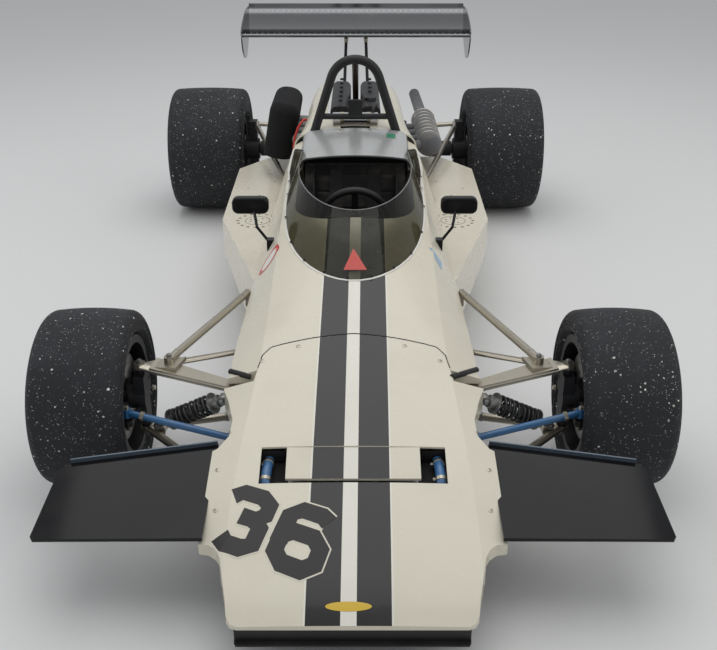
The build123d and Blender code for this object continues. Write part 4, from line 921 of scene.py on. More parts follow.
# Spring units: damper, coil and eyes, in place of the plain ones
# columns: piece, node, lower eye, upper eye
spring_rows = [
    ("front", "front_springs", (0.563, -1.128, 0.170), (0.366, -1.172, 0.280)),
    ("rear", "rear_springs", (0.469, 1.420, 0.184), (0.170, 1.420, 0.474)),
]
coil_turns = 8
coil_radius = 0.0255
coil_wire = 0.0048
cup = 0.031
eye = 0.011
eye_profile = [(0.006, -eye), (0.014, -eye), (0.014, eye), (0.006, eye), (0.006, -eye)]
for name, node, bottom, top in spring_rows:
    coils = bmesh.new()
    dampers = bmesh.new()
    for side in (-1, 1):
        low = on_side(side, bottom)
        high = on_side(side, top)
        along = (high - low).normalized()
        length = (high - low).length
        matrix = frame_from(along, low)
        low_cup = 0.2 * length
        high_cup = 0.84 * length
        coil_low = low_cup + 0.010
        coil_high = high_cup - 0.003
        steps = coil_turns * 20
        line = []
        for step in range(steps + 1):
            part = step / steps
            turn = 2 * math.pi * coil_turns * part
            eased = coil_low + (coil_high - coil_low) * (part + 0.02 * math.sin(4 * math.pi * part))
            round_spot = (coil_radius * math.cos(turn), coil_radius * math.sin(turn), eased)
            line.append(matrix @ Vector(round_spot))
        tube(coils, line, coil_wire, 8)
        profile = [
            (0.0, 0.004), (0.0085, 0.004), (0.0085, 0.16 * length), (0.018, 0.165 * length),
            (0.018, low_cup), (cup, low_cup), (cup, low_cup + 0.004), (0.0185, low_cup + 0.0042),
            (0.0185, 0.55 * length), (0.0165, 0.56 * length), (0.0060, 0.565 * length),
            (0.0060, 0.80 * length), (0.014, 0.81 * length), (0.014, high_cup),
            (cup, high_cup), (cup, high_cup + 0.004), (0.019, high_cup + 0.0042),
            (0.019, length - 0.014), (0.010, length - 0.010), (0.0, length - 0.010),
        ]
        lathe(dampers, profile, low, along, 28)
        for ridge in range(6):
            rise = (0.24 + 0.018 * ridge) * length
            bead = [(0.0185, rise), (0.0205, rise + 0.001)]
            bead += [(0.0205, rise + 0.0025), (0.0185, rise + 0.0035)]
            lathe(dampers, bead, low, along, 28)
        pin = (Vector((0, 1, 0)) - along * along.y).normalized()
        for spot in (low, high):
            lathe(dampers, eye_profile, spot, pin, 24)
            for way in (pin, -pin):
                hex_head(dampers, spot + way * eye, way, 0.014, 0.007)
    coil_piece = add_piece(f"{name}_coils", coils, "spring_black", "chassis", 60)
    damper_piece = add_piece(f"{name}_dampers", dampers, "damper_metal", "chassis")
    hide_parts(node)
    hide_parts(node)

# Wheels: centre across, axle station, tyre radius
wheel_places = {"front": (0.739, -1.110, 0.254), "rear": (0.738, 1.340, 0.305)}

# Tyres: slick rings with ribs on their walls, in place of the plain ones, with hub nuts and rim fittings
# columns: name, width, bead half width, radii of the wall ribs
tyre_rows = [
    ("front", 0.256, 0.115, (0.2105, 0.2190)),
    ("rear", 0.370, 0.160, (0.213, 0.226, 0.246, 0.262)),
]
for name, width, bead_half, ribs in tyre_rows:
    centre_x, station, radius = wheel_places[name]
    half = width / 2
    bead = bead_half - 0.0092
    wall = half - 0.0016
    shoulder = 0.030
    crown_drop = 0.0055
    side_line = [
        (0.1622, bead), (0.1795, bead), (0.1835, bead + 0.25 * (wall - bead)),
        (0.1900, bead + 0.72 * (wall - bead)), (0.1975, wall - 0.0008), (0.2040, wall),
    ]
    for rib in ribs:
        side_line += [(rib - 0.0022, wall), (rib - 0.0010, half)]
        side_line += [(rib + 0.0010, half), (rib + 0.0022, wall)]
    inner = radius - crown_drop - shoulder
    side_line.append((inner, wall))
    for step in range(1, 9):
        turn = math.pi / 2 * step / 8
        side_line.append((inner + shoulder * math.sin(turn), wall - shoulder + shoulder * math.cos(turn)))
    crown = []
    for step in range(1, 8):
        part = 1 - step / 4
        crown.append((radius - crown_drop * part * part, (wall - shoulder) * part))
    profile = side_line + crown + [(reach, -across) for reach, across in reversed(side_line)]
    profile.append(profile[0])
    for side_name, side in (("left", 1), ("right", -1)):
        builder = bmesh.new()
        lathe(builder, profile, (side * centre_x, station, radius), (side, 0, 0), 168)
        bmesh.ops.remove_doubles(builder, verts=builder.verts, dist=tiny)
        body = f"wheel_{name}_{side_name}"
        tyre_piece = add_piece(f"slick_{name}_{side_name}", builder, "tyre", body, 24)
        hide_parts(f"tyre_{name}_{side_name}")
        hub = bmesh.new()
        face = Vector((side * (centre_x - 0.006), station, radius))
        out = Vector((side, 0, 0))
        lathe(hub, [(0.0, 0.0), (0.034, 0.0), (0.034, 0.004), (0.030, 0.007), (0.0, 0.007)], face, out, 32)
        nut = 0.031
        nut_profile = [
            (nut, 0.007), (nut, 0.024), (nut * 0.88, 0.028), (0.016, 0.028), (0.014, 0.016), (0.0, 0.016),
        ]
        lathe(hub, nut_profile, face, out, 6)
        web_x = side * (centre_x - 0.013)
        for bolts, reach, size, height in ((8, 0.066, 0.014, 0.008), (16, 0.146, 0.008, 0.005)):
            for bolt in range(bolts):
                turn = 2 * math.pi * (bolt + 0.5) / bolts
                outward = Vector((0, math.cos(turn), math.sin(turn)))
                hex_head(hub, Vector((web_x, station, radius)) + outward * reach, out, size, height)
        add_piece(f"hub_nuts_{name}_{side_name}", hub, "nickel", body, 28)
        valve = bmesh.new()
        foot = Vector((web_x, station + 0.136, radius))
        stem = [foot, foot + Vector((side * 0.012, 0, 0)), foot + Vector((side * 0.034, 0.004, 0))]
        tube(valve, stem, [0.006, 0.0042, 0.0034], 8)
        weight_x = side * (centre_x + bead_half - 0.018)
        weight_reach = 0.1535
        for turn in (2.1, 4.4):
            outward = Vector((0, math.cos(turn), math.sin(turn)))
            matrix = frame_from(outward, (weight_x, station + weight_reach * math.cos(turn),
                                          radius + weight_reach * math.sin(turn)))
            soft_box(valve, (-0.008, -0.016, -0.0035), (0.008, 0.016, 0.001), 0.0012, matrix, 1)
        add_piece(f"rim_fittings_{name}_{side_name}", valve, "rubber_black", body)

# Cross drilled brake discs: dark discs in three rings on the outer face, painted shade that stands in for
# the drilled holes
drill_count = 36
for name, disc_out in (("front", -0.078), ("rear", -0.132)):
    centre_x, station, radius = wheel_places[name]
    for side_name, side in (("left", 1), ("right", -1)):
        builder = bmesh.new()
        out = Vector((side, 0, 0))
        middle_spot = Vector((side * (centre_x + disc_out), station, radius))
        for hole in range(drill_count):
            turn = 2 * math.pi * hole / drill_count
            reach = (0.078, 0.092, 0.106)[hole % 3]
            spot = middle_spot + Vector((0, math.cos(turn), math.sin(turn))) * reach
            lathe(builder, [(0.0, 0.0003), (0.0028, 0.0003), (0.0036, 0.0)], spot, out, 10)
        body = f"wheel_{name}_{side_name}"
        add_piece(f"disc_hole_shade_{name}_{side_name}", builder, "vent_black", body)

# Fasteners on the body: screws at the nose joint and along the cowl, rivets along the tub
fasteners = bmesh.new()
for across, down in ((298.4, 346.3), (404.7, 346.0), (262, 361), (440, 361)):
    spot, normal = seen_at(body_tree, across, down)
    if spot is not None:
        screw_head(fasteners, spot, normal, 0.0068, 0.0022)
cowl_stations = (-0.98, -0.84, -0.70, -0.56, -0.42, -0.28, -0.14, 0.0, 0.14, 0.28)
side_screws = [(cowl_tree, station, 0.333) for station in cowl_stations]
side_screws += [(nose_tree, station, 0.235 + 0.28 * (station + 1.62)) for station in (-1.62, -1.50, -1.38)]
for side in (-1, 1):
    for tree, station, height in side_screws:
        spot, normal, _, _ = tree.ray_cast(Vector((side * 0.6, station, height)), Vector((-side, 0, 0)))
        if spot is not None:
            screw_head(fasteners, spot, normal if normal.x * side > 0 else -normal, 0.006, 0.002)
add_piece("panel_screws", fasteners, "nickel", "chassis", 40)
rivets = bmesh.new()
for side in (-1, 1):
    out = (side, 0, 0)
    tub_x = side * 0.33
    rivet_row(rivets, (tub_x, -1.00, 0.300), (tub_x, -0.56, 0.300), out)
    rivet_row(rivets, (tub_x, -1.00, 0.118), (tub_x, 0.36, 0.118), out)
    for station in (-1.03, -0.60, -0.16, 0.33):
        rivet_row(rivets, (tub_x, station, 0.125), (tub_x, station, 0.30), out, 0.025)
    rivet_row(rivets, (side * 0.270, 0.385, 0.13), (side * 0.270, 0.385, 0.30), (0, 1, 0), 0.025)
add_piece("tub_rivets", rivets, "nickel", "chassis", 40)

# Rubber seals where the upper wishbones pass through the nose
seals = bmesh.new()
for start, end in (((210, 366), (251, 377)), ((489, 366), (452, 377))):
    line = []
    for step in range(7):
        across, down = (low + (high - low) * (step / 6) for low, high in zip(start, end))
        spot, _ = seen_at(body_tree, across, down)
        if spot is not None:
            line.append(spot)
    if len(line) > 2:
        tube(seals, line, 0.0085, 10)
add_piece("wishbone_seals", seals, "rubber_black", "chassis")

# Joint line behind the nose: across its rear edge, then forward along both of its sides
seam = bmesh.new()
seam_spots = []
for step in range(61):
    across = 0.232 * (step / 30 - 1)
    covered = [station for station in (-1.20 + 0.003 * count for count in range(130))
               if drop_on(nose_tree, across, station)[0] is not None]
    if covered:
        seam_spots.append((across, max(covered) + 0.003))
corner_station = min(station for _, station in seam_spots)
for side in (-1, 1):
    flank = []
    for step in range(1, 40):
        station = corner_station - 0.006 * step
        covered = [across for across in (0.330 - 0.002 * count for count in range(70))
                   if drop_on(nose_tree, side * across, station)[0] is not None]
        if not covered or station < -1.170:
            break
        flank.append((side * (max(covered) + 0.002), station))
    seam_spots = seam_spots + flank if side > 0 else flank[::-1] + seam_spots
seam_line = [drop_on(cowl_tree, across, station)[0] for across, station in seam_spots]
seam_line = [spot for spot in seam_line if spot is not None]
tube(seam, seam_line, 0.0015, 6)
add_piece("nose_seam", seam, "vent_black", "chassis")

# Deck: dark trim on its front lip, the panel behind the seat, and the deck's screws
deck_front = 0.0625
lip_half = 0.2095
lip_corner = 0.034
lip_flat = lip_half - lip_corner
lip_line = [Vector((lip_half, deck_front, 0.588))]
for step in range(7):
    turn = math.pi / 2 * step / 6
    across = lip_flat + lip_corner * math.cos(turn)
    lip_line.append(Vector((across, deck_front, 0.583 + lip_corner * math.sin(turn))))
for step in range(1, 12):
    part = step / 12
    across = lip_flat * (1 - 2 * part)
    lip_line.append(Vector((across, deck_front, 0.617 + 0.011 * (1 - (across / 0.178) ** 2))))
lip_line += [Vector((-spot.x, spot.y, spot.z)) for spot in reversed(lip_line[:8])]
lip = bmesh.new()
tube(lip, [spot - Vector((0, 0, 0.0035)) for spot in lip_line], 0.0036, 8)
add_piece("deck_lip", lip, "rubber_black", "chassis", 50)
bulkhead = bmesh.new()
soft_box(bulkhead, (-0.200, 0.186, 0.330), (0.200, 0.189, 0.584), 0.001)
soft_box(bulkhead, (-0.166, 0.186, 0.584), (0.166, 0.189, 0.618), 0.001)
add_piece("seat_bulkhead", bulkhead, "vent_black", "chassis")
deck_screws = bmesh.new()
for across in (-0.17, -0.06, 0.06, 0.17):
    spot, normal = drop_on(deck_tree, across, 0.315)
    if spot is not None:
        screw_head(deck_screws, spot, normal, 0.006, 0.002)
add_piece("deck_screws", deck_screws, "nickel", "chassis")

# Pods: scored disc, dark dots for its holes and a dark lining under each ring of holes, painted shade in the
# holes; and the screws
scores = bmesh.new()
score = [(0.0475, -0.0004), (0.0478, 0.0004), (0.0492, 0.0004), (0.0495, -0.0004)]
for side in (-1, 1):
    centre = Vector((side * 0.389, 0.103, 0.3521))
    lathe(scores, score, centre, (0, 0, 1), 56)
    hole_shade_liner = [(0.066, -0.0066), (0.089, -0.0066), (0.089, -0.0082), (0.066, -0.0082), (0.066, -0.0066)]
    lathe(scores, hole_shade_liner, centre, (0, 0, 1), 56)
    for hole in range(7):
        turn = 2 * math.pi * hole / 7
        reach = 0.030 if hole else 0.0
        spot = centre + Vector((math.cos(turn), math.sin(turn), 0)) * reach
        lathe(scores, [(0.0, 0.0006), (0.0032, 0.0005), (0.0036, -0.0004)], spot, (0, 0, 1), 12)
    screw = [(0.0, 0.0006), (0.0034, 0.0005), (0.0040, -0.0004)]
    for across, along in ((0.41, 0.42), (0.45, 0.33), (0.47, 0.52), (0.36, 0.62)):
        lathe(scores, screw, (side * across, along, 0.352), (0, 0, 1), 12)
add_piece("pod_scores_and_hole_shade", scores, "vent_black", "chassis")

# Engine dressing: plugs and leads, cover nuts, injection, manifold flanges
dress_metal = bmesh.new()
dress_black = bmesh.new()
leads = bmesh.new()
cover_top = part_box("cam_covers")[1].z
trumpet_stations = (0.690, 0.800, 0.910, 1.020)
exhaust_stations = (0.640, 0.760, 0.880, 1.000)
distributor = (0, 0.515, 0.604)
block_half = 0.120
rail_x = -0.184
rail_z = 0.590
injector_x = -0.214
oil_filter = (block_half, 0.560, 0.175)
oil_filter_axis = (1, 0, -0.15)
for side in (-1, 1):
    for step in range(6):
        station = 0.555 + 0.088 * step
        if side > 0 and abs(station - 0.640) < 0.045:
            continue
        hex_head(dress_black, (side * 0.064, station, cover_top), (0, 0, 1), 0.013, 0.007)
    for step in range(8):
        station = 0.540 + 0.066 * step
        hex_head(dress_metal, (side * 0.1065, station, 0.612), (side, 0, 0), 0.010, 0.006)
plug_cap = [(0.0, 0.030), (0.006, 0.030), (0.0075, 0.018), (0.0095, 0.0), (0.0095, -0.004)]
for plug in range(4):
    station = 0.570 + 0.115 * plug
    lathe(dress_black, plug_cap, (0, station, 0.602), (0, 0, 1), 14)
    line = [Vector((0, station, 0.630))]
    target = Vector((0.010 - 0.007 * plug, distributor[1], 0.664))
    bow = (-1) ** plug * 0.009
    for step in range(1, 12):
        part = step / 12
        swell = math.sin(math.pi * part)
        base = Vector((0, station, 0.634)).lerp(target, part)
        line.append(base + Vector((bow * swell, 0, 0.034 * swell ** 0.7)))
    line.append(target)
    tube(leads, line, 0.0036, 8)
distributor_cap = [(0.0, 0.062), (0.012, 0.062), (0.026, 0.052), (0.030, 0.030), (0.030, 0.0), (0.0, 0.0)]
lathe(dress_black, distributor_cap, distributor, (0, 0, 1), 28)
add_piece("plug_leads", leads, "lead_orange", "chassis", 50)
trumpet_band = [(0.0232, -0.007), (0.0262, -0.006), (0.0262, 0.006), (0.0232, 0.007)]
for station in trumpet_stations:
    soft_box(dress_metal, (-0.122, station - 0.034, 0.493), (-0.112, station + 0.034, 0.553), 0.003)
    for shift in (-0.026, 0.026):
        for height in (0.545, 0.501):
            hex_head(dress_metal, (-0.122, station + shift, height), (-1, 0, 0), 0.011, 0.007)
    lathe(dress_metal, trumpet_band, (-0.186, station, 0.525), (-1, 0, 0.066), 28)
    injector = [(injector_x, station, height) for height in (0.548, 0.571, 0.581)]
    tube(dress_metal, injector, [0.0065, 0.0065, 0.004], 8)
    pipe = [(injector_x, station, 0.578), (-0.212, station - 0.004, 0.590), (-0.206, station - 0.010, 0.598),
            (-0.196, station - 0.012, 0.599), (-0.188, station - 0.012, 0.594)]
    tube(dress_black, pipe, 0.0034, 8)
tube(dress_metal, [(rail_x, 0.640, rail_z), (rail_x, 1.060, rail_z)], 0.0075, 12)
tube(dress_metal, [(-0.150, 0.650, 0.562), (-0.150, 1.050, 0.562)], 0.0045, 10)
for station in trumpet_stations:
    soft_box(dress_metal, (-0.158, station - 0.006, 0.540), (-0.142, station + 0.006, 0.568), 0.002)
    stalk = [(rail_x, station, rail_z), (-0.180, station, 0.560), (-0.176, station, 0.545)]
    tube(dress_metal, stalk, 0.0035, 8)
for station in exhaust_stations:
    soft_box(dress_metal, (0.112, station - 0.036, 0.462), (0.121, station + 0.036, 0.518), 0.003)
    for shift in (-0.029, 0.029):
        hex_head(dress_metal, (0.121, station + shift, 0.490), (1, 0, 0), 0.013, 0.009)
for side in (-1, 1):
    for step in range(9):
        hex_head(dress_metal, (side * block_half, 0.420 + 0.073 * step, 0.318), (side, 0, 0), 0.012, 0.007)
    for station in (0.47, 0.60, 0.73, 0.86, 0.99):
        core_plug = [(0.024, 0.0), (0.022, 0.003), (0.0, 0.003)]
        lathe(dress_metal, core_plug, (side * block_half, station, 0.24), (side, 0, 0), 24)
lathe(dress_black, [(0.0, 0.086), (0.030, 0.086), (0.038, 0.078), (0.038, 0.006), (0.032, 0.0), (0.0, 0.0)],
      oil_filter, oil_filter_axis, 36)
for step in range(12):
    turn = 2 * math.pi * step / 12
    matrix = frame_from(oil_filter_axis, oil_filter) @ Matrix.Rotation(turn, 4, "Z")
    soft_box(dress_black, (0.0365, -0.003, 0.060), (0.0395, 0.003, 0.076), 0.001, matrix, 1)
lathe(dress_metal, [(0.0, 0.05), (0.052, 0.05), (0.056, 0.044), (0.056, 0.008), (0.050, 0.0), (0.0, 0.0)],
      (-0.178, 0.470, 0.235), (0, 1, 0), 32)
soft_box(dress_metal, (-0.150, 0.478, 0.205), (-0.119, 0.512, 0.265), 0.004)
add_piece("engine_fittings", dress_metal, "cast_alloy", "chassis")
add_piece("engine_black_fittings", dress_black, "rubber_black", "chassis")

# Lagged exhaust: its wire ties, and the clamp at the tail pipe
ties = bmesh.new()
for step in range(8):
    place = (0.335, 0.800 + 0.062 * step, 0.478)
    axis = (0.05 * (-1) ** step, 1, 0.03)
    lathe(ties, [(0.0572, -0.0015), (0.0588, 0.0), (0.0572, 0.0015)], place, axis, 36)
lathe(ties, [(0.0285, -0.012), (0.0315, -0.011), (0.0315, 0.011), (0.0285, 0.012)], (0.3335, 1.305, 0.4792),
      (-0.0273, 1, 0.018), 32)
hex_head(ties, (0.3335, 1.305, 0.5107), (0, 0, 1), 0.012, 0.008)
add_piece("exhaust_ties", ties, "nickel", "chassis", 50)

# Red fuel hose up the inner side of the air filter
fuel_hose = bmesh.new()
hose_line = [
    (-0.262, 0.600, 0.430),
    (-0.268, 0.612, 0.470),
    (-0.272, 0.622, 0.510),
    (-0.266, 0.628, 0.550),
    (-0.252, 0.634, 0.590),
    (-0.228, 0.650, 0.622),
    (-0.196, 0.676, 0.618),
    (-0.176, 0.700, 0.600),
]
tube(fuel_hose, hose_line, 0.0055, 10)
add_piece("fuel_hose", fuel_hose, "red_paint", "chassis", 60)

# Gearbox: bolts round its flanges, the side plates' nuts, breather and shift rod
box_bolts = bmesh.new()
box_height = 0.290
flange_half = 0.097
flange_rise = 0.120
bolt_rise = 0.045
bolt_pitch = 0.036
for station in (1.202, 1.492):
    for side in (-1, 1):
        flange_bolts = [(flange_half, box_height + (step - 1.5) * bolt_rise) for step in range(4)]
        for across in (0.5 * bolt_pitch, 1.5 * bolt_pitch):
            flange_bolts += [(across, box_height + flange_rise), (across, box_height - flange_rise)]
        for across, height in flange_bolts:
            hex_head(box_bolts, (side * across, station, height), (0, 1, 0), 0.012, 0.008)
for side in (-1, 1):
    for step in range(10):
        turn = 2 * math.pi * step / 10
        spot = (side * 0.118, 1.340 + 0.070 * math.cos(turn), 0.305 + 0.070 * math.sin(turn))
        hex_head(box_bolts, spot, (side, 0, 0), 0.012, 0.008)
lathe(box_bolts, [(0.0, 0.03), (0.014, 0.03), (0.018, 0.024), (0.018, 0.012), (0.010, 0.008), (0.010, 0.0)],
      (0.03, 1.30, 0.405), (0, 0, 1), 24)
shift_rod = [(-0.150, 0.40, 0.200), (-0.150, 1.05, 0.205), (-0.115, 1.22, 0.255), (-0.100, 1.30, 0.270)]
tube(box_bolts, shift_rod, 0.008, 12)
for step in range(6):
    spot = (-0.075 + 0.03 * step, 1.6605, 0.205)
    hex_head(box_bolts, spot, (0, 1, 0), 0.010, 0.006)
add_piece("gearbox_bolts", box_bolts, "nickel", "chassis")

# Wing: rivets, end plate screws and the brackets on its struts
wing_fit = bmesh.new()
strut_ends = [
    ((0.050, 1.6905, 0.845), (0.069, 1.537, 0.365)),
    ((0.050, 1.6405, 0.840), (0.069, 1.630, 0.365)),
]
strut_nut = [(0.0082, 0.0), (0.0110, 0.002), (0.0110, 0.018), (0.0082, 0.021)]
for side in (-1, 1):
    for along, height in ((1.570, 0.845), (1.630, 0.853), (1.700, 0.862), (1.770, 0.878), (1.840, 0.905)):
        screw_head(wing_fit, (side * 0.586, along, height), (side, 0, 0), 0.0062, 0.0025)
    for high, low in strut_ends:
        top = on_side(side, high)
        foot = on_side(side, low)
        ahead = (foot - top).normalized()
        for spot in (top + ahead * 0.03, foot - ahead * 0.075):
            lathe(wing_fit, strut_nut, spot, ahead, 6)
        hex_head(wing_fit, foot - ahead * 0.05 + Vector((side * 0.008, 0, 0)), (side, 0, 0), 0.013, 0.008)
add_piece("wing_fittings", wing_fit, "nickel", "chassis", 28)
wing_tree = surface("rear_wing")
wing_rivets = bmesh.new()
for along in (1.565, 1.862):
    for step in range(39):
        spot, normal = drop_on(wing_tree, -0.57 + 0.03 * step, along)
        if spot is not None:
            lathe(wing_rivets, [(0.0030, 0.0), (0.0024, 0.0008), (0.0, 0.0012)], spot, normal, 8)
add_piece("wing_rivets", wing_rivets, "polished_aluminium", "chassis")

# Suspension: bolts through the brackets and lock nuts on the links
joints = bmesh.new()
# columns: place, axis, bolt size
bracket_bolts = [
    ((0.287, -1.424, 0.128), (0, -1, 0), 0.016),
    ((0.287, -1.396, 0.128), (0, 1, 0), 0.016),
    ((0.338, -1.019, 0.128), (0, -1, 0), 0.016),
    ((0.338, -0.991, 0.128), (0, 1, 0), 0.016),
    ((0.332, -1.154, 0.295), (0, -1, 0), 0.014),
    ((0.334, -0.925, 0.298), (0, -1, 0), 0.014),
    ((0.334, -0.897, 0.298), (0, 1, 0), 0.014),
    ((0.359, -0.575, 0.335), (0, -1, 0), 0.012),
    ((0.524, -1.089, 0.372), (0, 0, 1), 0.012),
    ((0.605, -1.110, 0.365), (0, 0, 1), 0.012),
    ((0.605, -1.110, 0.141), (0, 0, -1), 0.018),
    ((0.505, 1.340, 0.440), (-1, 0, 0), 0.014),
]
# columns: link end, link's other end, distance of the nut, nut size
link_nuts = [
    ((0.358, -0.565, 0.336), (0.524, -1.089, 0.362), 0.045, 0.026),
    ((0.524, -1.089, 0.362), (0.358, -0.565, 0.336), 0.040, 0.026),
    ((0.272, 0.385, 0.391), (0.510, 1.330, 0.435), 0.060, 0.030),
    ((0.510, 1.330, 0.435), (0.272, 0.385, 0.391), 0.060, 0.030),
    ((0.310, 0.385, 0.235), (0.510, 1.330, 0.205), 0.060, 0.030),
    ((0.510, 1.330, 0.205), (0.310, 0.385, 0.235), 0.060, 0.030),
    ((0.296, -1.410, 0.128), (0.599, -1.116, 0.150), 0.045, 0.028),
    ((0.335, -1.005, 0.128), (0.599, -1.106, 0.150), 0.045, 0.028),
]
for side in (-1, 1):
    for place, axis, size in bracket_bolts:
        hex_head(joints, on_side(side, place), on_side(side, axis), size, size * 0.6)
    for start, end, distance, size in link_nuts:
        low = on_side(side, start)
        ahead = (on_side(side, end) - low).normalized()
        half = size / 2
        nut = [(0.010, -0.001), (half, 0.001), (half, 0.011), (0.010, 0.013)]
        lathe(joints, nut, low + ahead * distance, ahead, 6)
add_piece("suspension_nuts", joints, "damper_metal", "chassis", 28)

# Knuckles and tie rods: bolts, brake pipe and lock nuts
brake_pipe = [
    (0.640, -0.985, 0.296),
    (0.628, -1.000, 0.304),
    (0.616, -1.030, 0.300),
    (0.612, -1.060, 0.290),
]
for side_name, side in (("left", 1), ("right", -1)):
    builder = bmesh.new()
    for height in (0.225, 0.283):
        hex_head(builder, (side * 0.600, -1.010, height), (-side, 0, 0), 0.012, 0.008)
    hex_head(builder, (side * 0.628, -1.215, 0.221), (0, 0, -1), 0.018, 0.010)
    for height in (0.228, 0.280):
        hex_head(builder, (side * 0.656, -0.9715, height), (0, 1, 0), 0.014, 0.007)
    tube(builder, [on_side(side, point) for point in brake_pipe], 0.0035, 8)
    add_piece(f"knuckle_fittings_{side_name}", builder, "nickel", f"{side_name}_knuckle")
rack_fit = bmesh.new()
for side in (-1, 1):
    inner = Vector((side * 0.335, -1.255, 0.205))
    outer = Vector((side * 0.628, -1.215, 0.262))
    ahead = (outer - inner).normalized()
    nut = [(0.0101, 0.0), (0.0135, 0.001), (0.0135, 0.012), (0.0101, 0.013)]
    lathe(rack_fit, nut, outer - ahead * 0.050, ahead, 6)
    hex_head(rack_fit, outer + Vector((0, 0, 0.013)), (0, 0, 1), 0.012, 0.006)
add_piece("tie_rod_fittings", rack_fit, "nickel", "rack", 28)

# Nose fins with a round leading edge and a raised lip behind, and the upper wishbones' tapered plates
fin_slope = math.atan(0.1544)
fin_root = (-1.706, 0.214)


def fin_point(side, across, along, up):
    """Point on a fin, from its front root, in the fin's own slope."""
    turned = Matrix.Rotation(fin_slope, 4, "X") @ Vector((0.0, along, up))
    return Vector((side * across, *fin_root)) + turned


def prism(builder, lower, upper):
    """Closed solid between two outlines with as many corners."""
    rings = [[builder.verts.new(point) for point in ring] for ring in (lower, upper)]
    builder.faces.new(rings[0][::-1])
    builder.faces.new(rings[1])
    count = len(lower)
    for index in range(count):
        after = (index + 1) % count
        builder.faces.new((rings[0][index], rings[0][after], rings[1][after], rings[1][index]))


fin_lips = bmesh.new()
fin_noses = bmesh.new()
arm_plates = bmesh.new()
for side in (-1, 1):
    lip = [(0.352, 0.320), (0.716, 0.251), (0.716, 0.2555), (0.352, 0.3245)]
    if side < 0:
        lip = lip[::-1]
    lip_rings = [[fin_point(side, across, along, up) for across, along in lip] for up in (0.002, 0.021)]
    prism(fin_lips, *lip_rings)
    tube(fin_noses, [(side * 0.351, -1.697, 0.2155), (side * 0.745, -1.699, 0.2155)], 0.0085, 12)
    outer = Vector((side * 0.570, -1.102, 0.350))
    inner = Vector((side * 0.330, -1.140, 0.298))
    across = Vector((0, 0, 1)).cross(inner - outer).normalized()
    up = (inner - outer).cross(across).normalized()
    plan = [outer - across * 0.033, inner - across * 0.018, inner + across * 0.018, outer + across * 0.033]
    prism(arm_plates, [point - up * 0.0086 for point in plan], [point + up * 0.0086 for point in plan])
# The fin lips' blue-grey colour is a painted sky reflection on their black paint
add_piece("nose_fin_lips", fin_lips, "fin_lip_sky_reflection", "chassis", 28)
add_piece("nose_fin_leading_edges", fin_noses, "black_gloss", "chassis")
add_piece("upper_wishbone_plates", arm_plates, "nickel", "chassis", 28)

# Mirrors: the glass on their rear faces
glass = bmesh.new()
for side in (-1, 1):
    matrix = Matrix.Translation(Vector((side * 0.363, -0.3068, 0.560)))
    soft_box(glass, (-0.056, 0.0, -0.023), (0.056, 0.0012, 0.023), 0.0005, matrix, 1)
add_piece("mirror_glass", glass, "mirror_glass", "chassis")

# Dash: gauges and switches
dash_face = -0.413
dial_marks = 11
dial_sweep = 270
dial_step = dial_sweep / (dial_marks - 1)
gauges = bmesh.new()
gauge_faces = bmesh.new()
gauge_marks = bmesh.new()
# columns: across, height, radius, needle angle
dials = [
    (0.0, 0.476, 0.042, 200),
    (0.098, 0.470, 0.027, 120),
    (-0.098, 0.470, 0.027, 60),
    (0.168, 0.455, 0.024, 90),
]
for across, height, radius, pointer in dials:
    spot = Vector((across, dash_face, height))
    hole = radius * 0.86
    bezel = [(hole, 0.001), (hole, 0.007), (radius * 0.93, 0.010), (radius, 0.008), (radius, 0.0)]
    lathe(gauges, bezel, spot, (0, 1, 0), 36)
    lathe(gauge_faces, [(0.0, 0.002), (radius * 0.87, 0.002)], spot, (0, 1, 0), 36)
    for step in range(dial_marks):
        turn = math.radians(-dial_sweep / 2 + dial_step * step)
        outward = Vector((math.sin(turn), 0, math.cos(turn)))
        matrix = frame_from(outward, spot + Vector((0, 0.0024, 0)) + outward * radius * 0.70)
        soft_box(gauge_marks, (-0.0006, -0.0003, 0.0), (0.0006, 0.0003, radius * 0.13), 0.0001, matrix, 1)
    turn = math.radians(pointer)
    outward = Vector((math.sin(turn), 0, math.cos(turn)))
    matrix = frame_from(outward, spot + Vector((0, 0.0034, 0)))
    needle_end = (0.0009, 0.0004, radius * 0.66)
    soft_box(gauge_marks, (-0.0009, -0.0004, -radius * 0.15), needle_end, 0.0002, matrix, 1)
for step in range(3):
    spot = Vector((-0.150 - 0.026 * step, dash_face, 0.452 - 0.006 * step))
    switch = [(0.0075, 0.0), (0.0075, 0.003), (0.0045, 0.004), (0.0045, 0.008), (0.0, 0.008)]
    lathe(gauges, switch, spot, (0, 1, 0), 12)
    toggle = [spot + Vector((0, 0.006, 0)), spot + Vector((0, 0.020, 0.006))]
    tube(gauges, toggle, [0.0018, 0.0030], 8)
add_piece("dash_gauges", gauges, "nickel", "chassis")
add_piece("gauge_dials", gauge_faces, "dial_face", "chassis")
add_piece("gauge_marks", gauge_marks, "white_paint", "chassis")

# Steering wheel: grip with its stitches, boss with its bolts, and rims of the spokes' holes
column_foot = Vector((0, -1.215, 0.232))
wheel_centre = Vector((0, -0.165, 0.453))
wheel_axis = (wheel_centre - column_foot).normalized()
wheel_matrix = frame_from(wheel_axis, wheel_centre)
grip_steps = 96
stitch_count = 150


def wheel_point(reach, turn, height):
    """Point of the steering wheel, at a distance from its axis, a turn about it and a height along it."""
    return wheel_matrix @ Vector((reach * math.cos(turn), reach * math.sin(turn), height))


